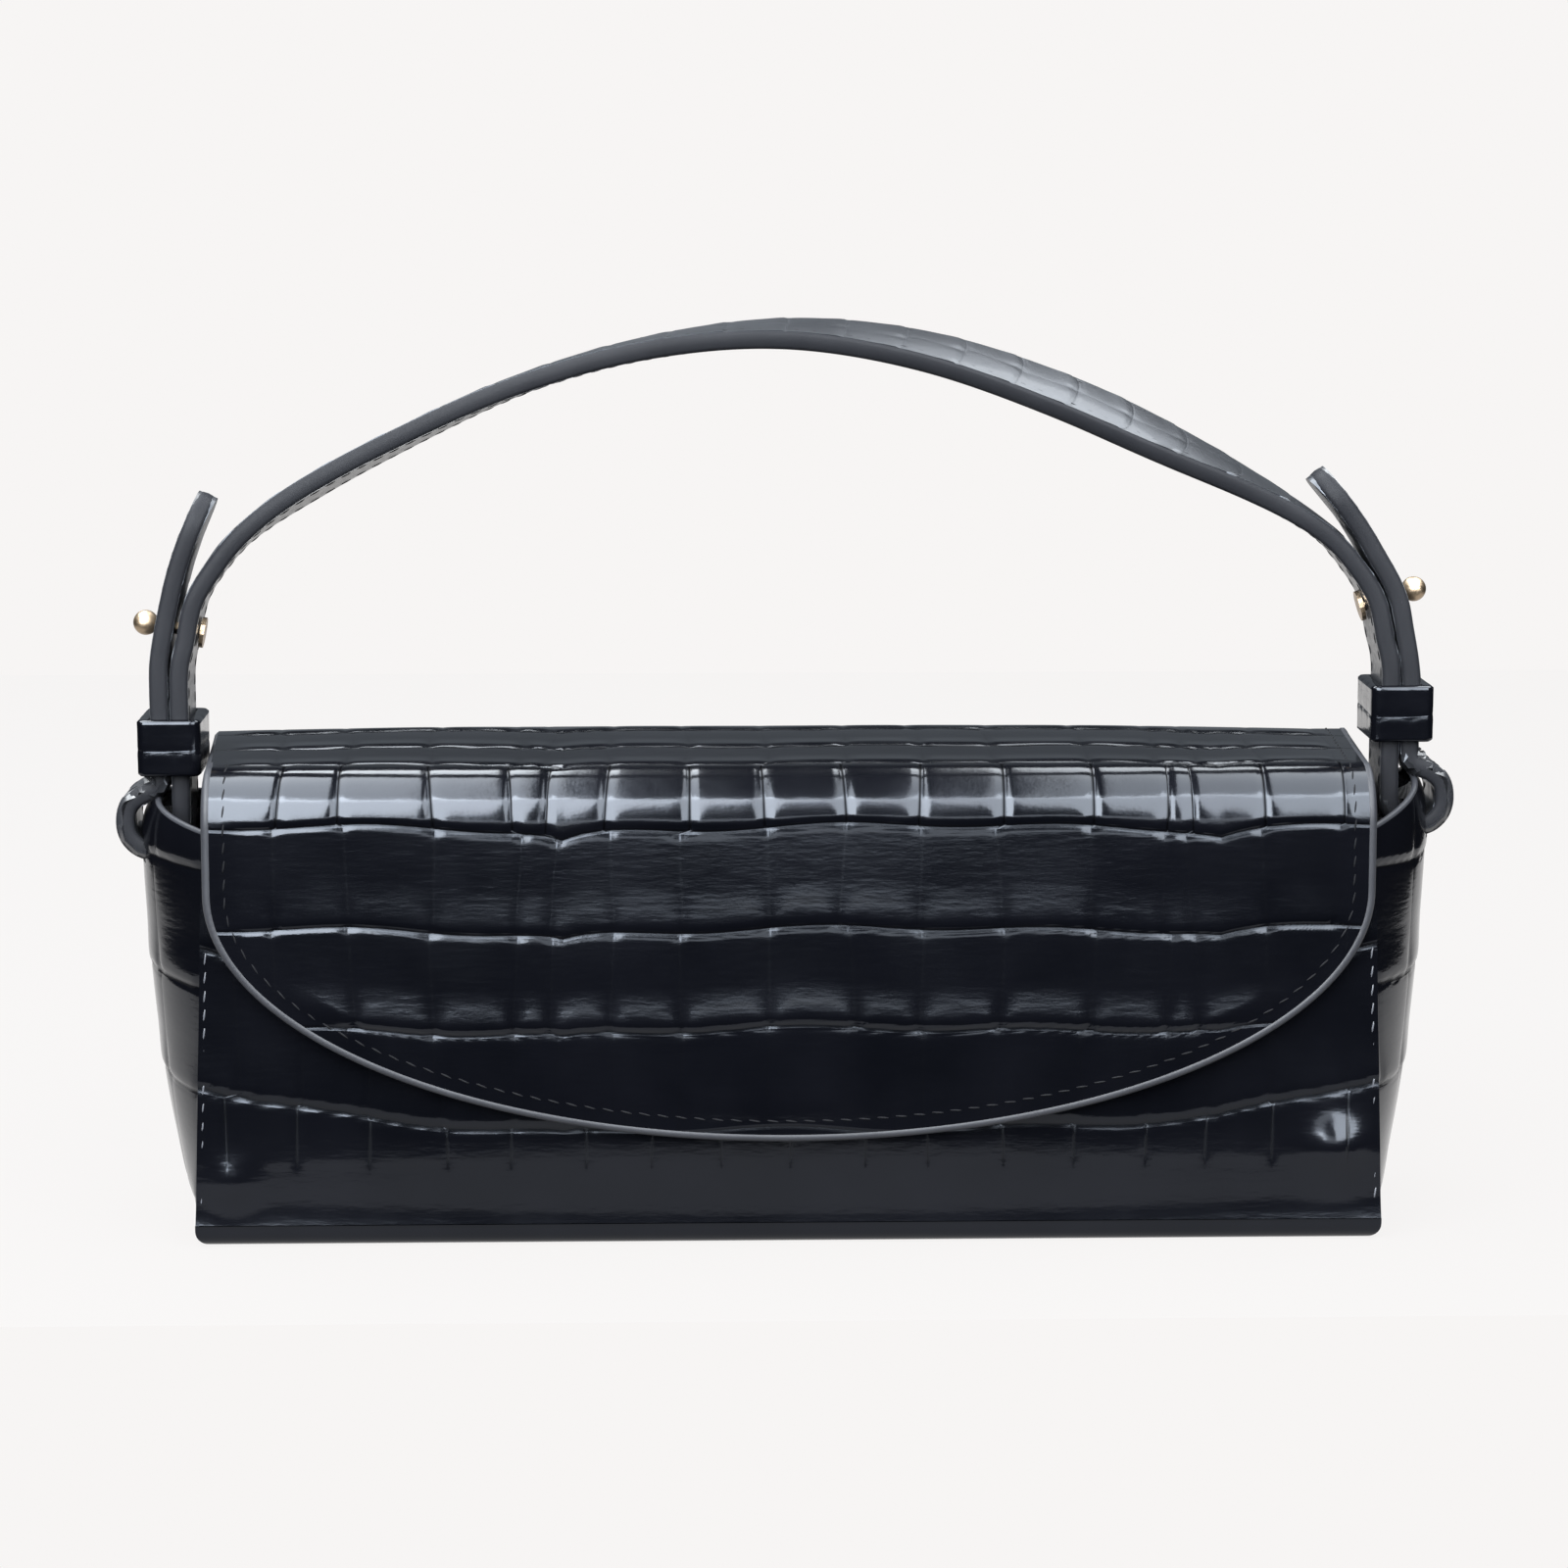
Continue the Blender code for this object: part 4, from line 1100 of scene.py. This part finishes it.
def flap_outline(inset):
    """Places along the flap's rim from its left hinge end round the hem, with outs and ups."""
    half = FLAP_WIDTH / 2 - inset
    places = []
    for number, steps in enumerate((RIM_BACK_STEPS, RIM_TOP_STEPS, RIM_ROLL_STEPS)):
        shares = np.linspace(0, 1, steps)
        stretches = [1.0] * number + [shares] + [0.0] * (3 - number)
        places.append(flap_place(half, *stretches))
    drop = np.linspace(0, 1, RIM_SIDE_STEPS)[1:]
    turn = np.linspace(0, math.pi / 2, RIM_HEM_STEPS)[1:]
    tongue = FLAP_TONGUE - inset
    x = np.concatenate((half + 0 * drop, half * np.cos(turn)))
    z = np.concatenate((
        ROLL_END_HEIGHT - FLAP_SIDE_STRAIGHT * drop,
        FLAP_SIDE_HEIGHT - tongue * np.sin(turn),
    ))
    places = np.concatenate(places + [points(x, FLAP_FACE_Y - belly(x, z), z)])
    hem_outs = unit(points(tongue * np.cos(turn), 0, -half * np.sin(turn)))
    outs = np.concatenate((np.tile((1.0, 0.0, 0.0), (len(places) - len(turn), 1)), hem_outs))
    runs = unit(np.gradient(places, axis=0))
    ups = unit(np.cross(runs, outs))
    outs = np.cross(ups, runs)
    mirrored = [rows[-2::-1] * (-1, 1, 1) for rows in (places, outs, ups)]
    return [np.concatenate(pair) for pair in zip((places, outs, ups), mirrored)]


def dress_flap(piece, name, finish, nodes=()):
    """Dresses a piece of the flap, and bakes its place into its mesh."""
    dress(piece, name, finish, nodes=nodes)
    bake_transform(piece)


def make_flap():
    """Flap: embossed leather, core and lining, a painted rim and a row of stitches."""
    depth = 0
    for layer, thickness, finish, relief, columns in (
        ("leather", FLAP_LEATHER, CROC, flap_relief, FLAP_COLUMNS),
        ("core", FLAP_CORE, BOARD, None, LINING_COLUMNS),
        ("lining", FLAP_LINING, TWILL, None, LINING_COLUMNS),
    ):
        rows = FLAP_ROWS if relief else FLAP_ROWS // 2
        sheet = lay(flap_surface, columns, rows, thickness, relief, depth, closer_at_sides)
        dress_flap(sheet, f"flap_{layer}", finish, [f"flap_top_{layer}", f"flap_front_{layer}"])
        depth += thickness + FIT_GAP
    places, outs, ups = flap_outline(0)
    half_height = FLAP_TOTAL / 2 + FLAP_EDGE_PROUD
    rim = bead(places - ups * FLAP_TOTAL / 2, outs, ups, FLAP_EDGE_HALF_WIDTH, half_height, False)
    dress_flap(rim, "flap_painted_edge", EDGE_PAINT)
    dress_flap(sew([np.hstack(flap_outline(FLAP_STITCH_INSET))]), "flap_stitches", THREAD)


class Path:
    """A smooth path in the X and Z plane through given knots, read by the distance along it."""

    def __init__(self, knots):
        knots = np.array(knots, float)
        legs = np.linalg.norm(np.diff(knots, axis=0), axis=1)
        before = np.concatenate(([knots[0]], knots[:-1]))
        after = np.concatenate((knots[1:], [knots[-1]]))
        reach = np.concatenate((legs[:1], legs[:-1] + legs[1:], legs[-1:]))
        slopes = (after - before) / reach[:, None]
        points = []
        for start, end, leave, arrive, leg in zip(knots, knots[1:], slopes, slopes[1:], legs):
            for t in np.arange(PATH_STEPS) / PATH_STEPS:
                points.append(
                    start * (1 + 2 * t) * (1 - t) ** 2
                    + leave * leg * t * (1 - t) ** 2
                    + end * t**2 * (3 - 2 * t)
                    + arrive * leg * t**2 * (t - 1)
                )
        points.append(knots[-1])
        self.points = np.array(points)
        self.distances = distances_along(self.points)
        self.length = self.distances[-1]

    def at(self, distance):
        return read_rows(self.points, self.distances, np.clip(distance, 0, self.length))

    def direction(self, distance):
        step = SURFACE_STEP_SHARE * self.length
        return unit(
            self.at(np.minimum(distance + step, self.length)) - self.at(np.maximum(distance - step, 0))
        )


def arch_knots(sign):
    """One half of the arch from its foot upwards. The leather sags, and more so on its right."""
    knots = [(STRAP_HALF_SPAN, PIVOT_HEIGHT - END_RADIUS)]
    for x, z in ARCH_SHARES + ((0.0, 1.0),):
        right = RIGHT_SAG * math.exp(-(((sign * x - RIGHT_SAG_SHARE) / RIGHT_SAG_REACH) ** 2))
        sag = (ARCH_SAG + right) * min(max(z, 0), 1)
        knots.append((STRAP_HALF_SPAN * x, PIVOT_HEIGHT + HANDLE_RISE * z - sag))
    return knots


def tip_knots(shares):
    return [(STRAP_HALF_SPAN * x, PIVOT_HEIGHT + HANDLE_RISE * z) for x, z in shares]


def loop_knots(loop_bottom):
    """Down the inner strand, through the gusset's slot and up outside it."""
    centre_x = STRAP_HALF_SPAN + LOOP_RADIUS
    centre_z = loop_bottom + LOOP_RADIUS
    knots = [(STRAP_HALF_SPAN, FIXED_END_HEIGHT)]
    for step in range(LOOP_ARC_STEPS + 1):
        turn = math.pi * step / LOOP_ARC_STEPS
        knots.append((centre_x - LOOP_RADIUS * math.cos(turn), centre_z - LOOP_RADIUS * math.sin(turn)))
    knots += [(centre_x + LOOP_RADIUS * x, centre_z + LOOP_RADIUS * z) for x, z in LOOP_RETURN_SHARES]
    knots.append((OUTER_STRAND_X, centre_z + LOOP_RADIUS * LOOP_STRAIGHT_SHARE))
    knots.append((OUTER_STRAND_X, FIXED_END_HEIGHT))
    return knots


def strap_path():
    """The whole strap, from the left tip over the crown to the right tip."""
    right = loop_knots(HINGE_HEIGHT - RIGHT_LOOP_DROP) + tip_knots(RIGHT_TIP_SHARES)
    left = loop_knots(HINGE_HEIGHT - LEFT_LOOP_DROP) + tip_knots(LEFT_TIP_SHARES)
    knots = [(-x, z) for x, z in reversed(left)]
    knots += [(-x, z) for x, z in arch_knots(-1)[1:]]
    knots += arch_knots(1)[-2:0:-1]
    return Path(knots + right)


def swell_share(share, low, peak, high):
    """Rises smoothly from 0 at a low place to 1 at a peak, and falls to 0 at a high place."""
    end = np.where(share < peak, low, high)
    away = np.clip((share - peak) / (end - peak), 0, 1)
    return (1 + np.cos(math.pi * away)) / 2


def strap_frames(path, distance):
    """Middles, backward width directions and outward directions of the strap at distances along it."""
    middle = path.at(distance)
    along = path.direction(distance)
    share = middle[..., 0] / STRAP_HALF_SPAN
    right_lean = RIGHT_TWIST * swell_share(share, *RIGHT_TWIST_SHARES)
    left_lean = LEFT_TWIST * swell_share(share, *LEFT_TWIST_SHARES)
    lean = (right_lean - left_lean)[..., None]
    out = points(-along[..., 1], 0, along[..., 0])
    back = np.array((0, 1, 0))
    width = np.cos(lean) * back + np.sin(lean) * out
    up = np.cos(lean) * out - np.sin(lean) * back
    return points(middle[..., 0], 0, middle[..., 1]), width, up


def strap_place(path, across, distance, lift):
    """A place on the strap: across runs from -1 at its back edge to 1 at its front edge."""
    middle, width, up = strap_frames(path, distance)
    return middle - across[:, None] * (END_RADIUS - STRAP_EDGE_INSET) * width + lift * up


def strap_side(path, facing):
    """Outer face of one of the strap's two leathers, with rounded ends."""

    def surface(u, v):
        across = facing * (2 * u - 1)
        tuck = END_RADIUS * (1 - np.sqrt(np.maximum(0, 1 - across**2)))
        span = path.length - 2 * tuck
        return strap_place(path, across, tuck + span * v, facing * STRAP_THICKNESS / 2)

    return surface


def strap_outline(path, inset, lift):
    """The strap's rim, round both of its ends: places, outs and ups."""
    reach = END_RADIUS - inset
    straight = np.linspace(END_RADIUS, path.length - END_RADIUS, STRAP_ROWS // 2)
    turn = np.linspace(0, math.pi, STRAP_END_STEPS)[1:-1]
    distance = np.concatenate((
        straight,
        path.length - END_RADIUS + reach * np.sin(turn),
        straight[::-1],
        END_RADIUS - reach * np.sin(turn),
    ))
    side = np.concatenate((np.ones(len(straight)), np.cos(turn)))
    side = np.concatenate((side, -side))
    round_share = np.concatenate((np.zeros(len(straight)), np.sin(turn)))
    round_share = np.concatenate((round_share, -round_share))
    middle, width, up = strap_frames(path, distance)
    places = middle - side[:, None] * reach * width + lift * up
    along = path.direction(distance)
    ahead = points(along[:, 0], 0, along[:, 1])
    outs = unit(round_share[:, None] * ahead - side[:, None] * width)
    return places, outs, up


def dress_strap(piece, name, finish, nodes=()):
    """Dresses a piece of the strap, and bakes its place into its mesh."""
    dress(piece, name, finish, nodes=nodes)
    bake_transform(piece)


def make_strap():
    """The strap: two leathers sewn together, with a painted edge and stitches along both edges."""
    path = strap_path()

    def face_relief(u, v):
        heights, marks = STRAP_EMBOSS.at((u - 0.5) * STRAP_WIDTH, path.length * v)
        padded = np.clip((path.at(path.length * v)[:, 1] - PIVOT_HEIGHT) / STRAP_WIDTH, 0, 1)
        return heights + ARCH_PADDING * padded * (1 - (2 * u - 1) ** 2), marks

    lines = []
    strands = ("handle", "left_loop", "right_loop", "left_tip", "right_tip")
    for name, facing, finish, relief in (
        ("face", 1, STRAP_SKIN, face_relief),
        ("under", -1, STRAP_BACK, None),
    ):
        leather = lay(strap_side(path, facing), STRAP_COLUMNS, STRAP_ROWS, STRAP_LEATHER, relief)
        dress_strap(leather, f"strap_{name}_leather", finish, [f"{strand}_{name}" for strand in strands])
        places, outs, ups = strap_outline(path, STRAP_STITCH_INSET, facing * STRAP_THICKNESS / 2)
        lines.append(np.hstack((places, outs, facing * ups)))
    outline = strap_outline(path, STRAP_EDGE_INSET, 0)
    edge = bead(*outline, STRAP_EDGE_HALF_WIDTH, STRAP_THICKNESS / 2, True)
    dress_strap(edge, "strap_painted_edge", STRAP_PAINT)
    dress_strap(sew(lines), "strap_stitches", THREAD)


def make_keeper(side, sign, bottom):
    """A leather ring round the two strands, with rounded rims and a smooth inner wall."""
    middle_x = (STRAP_HALF_SPAN + OUTER_STRAND_X) / 2
    half_x = (OUTER_STRAND_X - STRAP_HALF_SPAN + STRAP_THICKNESS) / 2 + FIT_GAP + KEEPER_WALL
    half_y = STRAP_WIDTH / 2 + FIT_GAP + KEEPER_WALL
    flat_x = 2 * (half_x - KEEPER_CORNER_RADIUS)
    flat_y = 2 * (half_y - KEEPER_CORNER_RADIUS)
    quarter = math.pi / 2 * KEEPER_CORNER_RADIUS
    legs = (flat_y, quarter, flat_x, quarter) * 2
    ends = np.concatenate(([0], np.cumsum(legs)))
    keeper, u, v = new_grid(KEEPER_COLUMNS, KEEPER_ROWS)
    distance = u * ends[-1]
    x = half_x + 0 * distance
    y = -half_y + KEEPER_CORNER_RADIUS + 0 * distance
    heading = 0 * distance
    for number, leg in enumerate(legs):
        gone = np.clip(distance - ends[number], 0, leg)
        if number % 2:
            turn = gone / KEEPER_CORNER_RADIUS
            x = x + KEEPER_CORNER_RADIUS * (np.cos(heading + turn) - np.cos(heading))
            y = y + KEEPER_CORNER_RADIUS * (np.sin(heading + turn) - np.sin(heading))
            heading = heading + turn
        else:
            x = x - gone * np.sin(heading)
            y = y + gone * np.cos(heading)
    rise = KEEPER_HEIGHT * v
    into_rim = np.maximum(0, KEEPER_RIM_RADIUS - np.minimum(rise, KEEPER_HEIGHT - rise))
    tuck = KEEPER_RIM_RADIUS - np.sqrt(np.maximum(0, KEEPER_RIM_RADIUS**2 - into_rim**2))
    heights, marks = KEEPER_EMBOSS.at(distance, rise)
    out = heights - tuck
    marks["out"] = out
    marks["heading"] = heading
    x = sign * middle_x + x + out * np.cos(heading)
    write_places(keeper, points(x, y + out * np.sin(heading), bottom + rise))
    write_marks(keeper, marks)
    face_out(keeper)
    thicken(keeper, KEEPER_WALL)
    places = read_places(keeper)
    count = len(places) // 2
    inwards = read_mark(keeper, "out")[:count] + KEEPER_WALL
    heading = read_mark(keeper, "heading")[:count]
    outwards = points(np.cos(heading), np.sin(heading), 0)
    places[count:] = places[:count] - inwards[:, None] * outwards
    write_places(keeper, places)
    smooth(keeper)
    dress(keeper, f"{side}_keeper_leather", CROC, f"{side}_keeper", [f"{side}_keeper"])


def heights_beside(path, place, out, radius):
    """Heights above a place, along a line, of the path's points that lie within a radius of the line."""
    offsets = path.points - place
    beside = np.abs(offsets @ np.array((-out[1], out[0])))
    return offsets[beside < radius] @ out


def turned(profile, place, axis):
    """A turned piece: a profile spun about its own axis, which then points along a direction."""
    points = [(radius, 0, height) for radius, height in profile]
    piece = new_piece(points, [(step, step + 1) for step in range(len(points) - 1)], [])
    spin = piece.modifiers.new("spin", "SCREW")
    spin.steps = TURNED_STEPS
    spin.render_steps = TURNED_STEPS
    spin.use_merge_vertices = True
    spin.merge_threshold = MERGE_DISTANCE
    select_only(piece)
    apply_modifiers(piece)
    piece.rotation_euler = (0, math.atan2(axis[0], axis[2]), 0)
    piece.location = place
    bpy.ops.object.transform_apply(location=True, rotation=True)
    face_out(piece)
    smooth(piece, STUD_SMOOTH_ANGLE)
    return piece


def make_stud(side, sign, rise, tip_shares):
    """A ball stud whose post runs through both strands."""
    arch = Path([(-x, z) for x, z in arch_knots(-sign)] + arch_knots(sign)[-2::-1])
    tip = Path([(OUTER_STRAND_X, PIVOT_HEIGHT - END_RADIUS)] + tip_knots(tip_shares))
    distance = arch.length - END_RADIUS - rise
    place = arch.at(distance)
    along = arch.direction(distance)
    out = np.array((-along[1], along[0]))
    inner = heights_beside(arch, place, out, SCREW_HEAD_RADIUS)
    post_bottom = min(inner[inner > -STRAP_WIDTH]) - STRAP_THICKNESS / 2
    head_base = max(heights_beside(tip, place, out, STUD_HEAD_RADIUS)) + STRAP_THICKNESS / 2 + FIT_GAP
    post_length = head_base - post_bottom
    half_neck = math.asin(STUD_POST_RADIUS / STUD_HEAD_RADIUS)
    head_centre = post_length + STUD_HEAD_RADIUS * math.cos(half_neck)
    profile = [(0, head_centre + STUD_HEAD_RADIUS)]
    for step in range(1, HEAD_ARC_STEPS + 1):
        turn = (math.pi - half_neck) * step / HEAD_ARC_STEPS
        profile.append((STUD_HEAD_RADIUS * math.sin(turn), head_centre + STUD_HEAD_RADIUS * math.cos(turn)))
    profile += [(STUD_POST_RADIUS, 0), (0, 0)]
    axis = np.array((sign * out[0], 0, out[1]))
    centre = np.array((sign * place[0], 0, place[1]))
    stud = turned(profile, centre + post_bottom * axis, axis)
    dress(stud, f"{side}_ball_stud", BRASS, "handle", [f"{side}_stud"])


def finish_hidden_pieces():
    """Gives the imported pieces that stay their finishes."""
    for finish, nodes in (
        (BOARD, ("front_board", "back_board", "base_board")),
        (STEEL, ("body_magnet", "flap_magnet")),
        (BRASS, ("left_stud_screw", "right_stud_screw")),
    ):
        for node in nodes:
            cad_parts[node].data.materials.clear()
            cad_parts[node].data.materials.append(finish.material)


def soft_box(name, place, aim, width, height, power):
    """A rectangular studio light that the camera doesn't see."""
    light = bpy.data.lights.new(name, "AREA")
    light.shape = "RECTANGLE"
    light.size = width
    light.size_y = height
    light.energy = power
    light.color = LIGHT_COLOUR
    lamp = new_object(name, light)
    lamp.location = place
    away = lamp.location - Vector(aim)
    lamp.rotation_euler = away.to_track_quat("Z", "Y").to_euler()
    lamp.visible_camera = False


def light_studio():
    """Pale floor and surroundings for the camera, darker surroundings for reflections, and soft boxes."""
    world = bpy.data.worlds.new("studio")
    bpy.context.scene.world = world
    sky = NodeTree(world)
    seen = sky.nodes["Background"]
    sky.fill(seen.inputs["Color"], PAPER)
    heading = sky.node("ShaderNodeTexCoord", output="Generated")
    behind = sky.node("ShaderNodeSeparateXYZ", None, {0: heading}, output="Y")
    glow = sky.between(behind, SKY_GLOW_START_SHARE, SKY_GLOW_END_SHARE, SKY_LOW_GLOW, SKY_HIGH_GLOW)
    around = sky.node("ShaderNodeBackground", None, {"Color": SKY, "Strength": glow})
    camera_ray = sky.node("ShaderNodeLightPath", output="Is Camera Ray")
    mixed = sky.mix_shaders(camera_ray, around, Amount(sky, seen.outputs[0]))
    sky.fill(sky.nodes["World Output"].inputs[0], mixed)

    bpy.ops.mesh.primitive_plane_add(size=2)
    floor = bpy.context.object
    floor.name = "studio_floor"
    floor.scale = (FLOOR_HALF_WIDTH, (FLOOR_BACK - FLOOR_FRONT) / 2, 1)
    floor.location = (0, (FLOOR_BACK + FLOOR_FRONT) / 2, 0)
    bpy.ops.object.transform_apply(location=True, scale=True)
    paper = Finish("pale paper", "lining")
    paper.set(
        Base_Color=FLOOR_SHADE, Roughness=0.9, Specular_IOR_Level=0.0,
        Emission_Color=PAPER, Emission_Strength=FLOOR_GLOW,
    )
    floor.data.materials.append(paper.material)
    for box in SOFT_BOXES:
        soft_box(*box)


def place_camera():
    camera_data = bpy.data.cameras.new("camera")
    camera_data.lens = CAMERA_LENS
    camera_data.sensor_width = SENSOR_WIDTH
    camera_data.clip_start = CAMERA_CLIP
    camera = new_object("camera", camera_data)
    towards = Vector((
        -math.sin(CAMERA_TURN) * math.cos(CAMERA_RISE),
        -math.cos(CAMERA_TURN) * math.cos(CAMERA_RISE),
        math.sin(CAMERA_RISE),
    ))
    camera.location = Vector(AIM) + CAMERA_DISTANCE * towards
    camera.rotation_euler = towards.to_track_quat("Z", "Y").to_euler()
    bpy.context.scene.camera = camera


def main():
    place_camera()
    light_studio()
    make_walls()
    make_base()
    make_flap()
    make_strap()
    for side, sign, loop_drop, keeper_rise, stud_rise, tip_shares in (
        ("left", -1, LEFT_LOOP_DROP, LEFT_KEEPER_RISE, LEFT_STUD_RISE, LEFT_TIP_SHARES),
        ("right", 1, RIGHT_LOOP_DROP, RIGHT_KEEPER_RISE, RIGHT_STUD_RISE, RIGHT_TIP_SHARES),
    ):
        loop_bottom = HINGE_HEIGHT - loop_drop
        make_gusset(side, sign, loop_bottom)
        make_keeper(side, sign, loop_bottom + keeper_rise)
        make_stud(side, sign, stud_rise, tip_shares)
    finish_hidden_pieces()
    bpy.context.scene.view_settings.view_transform = "Standard"


main()
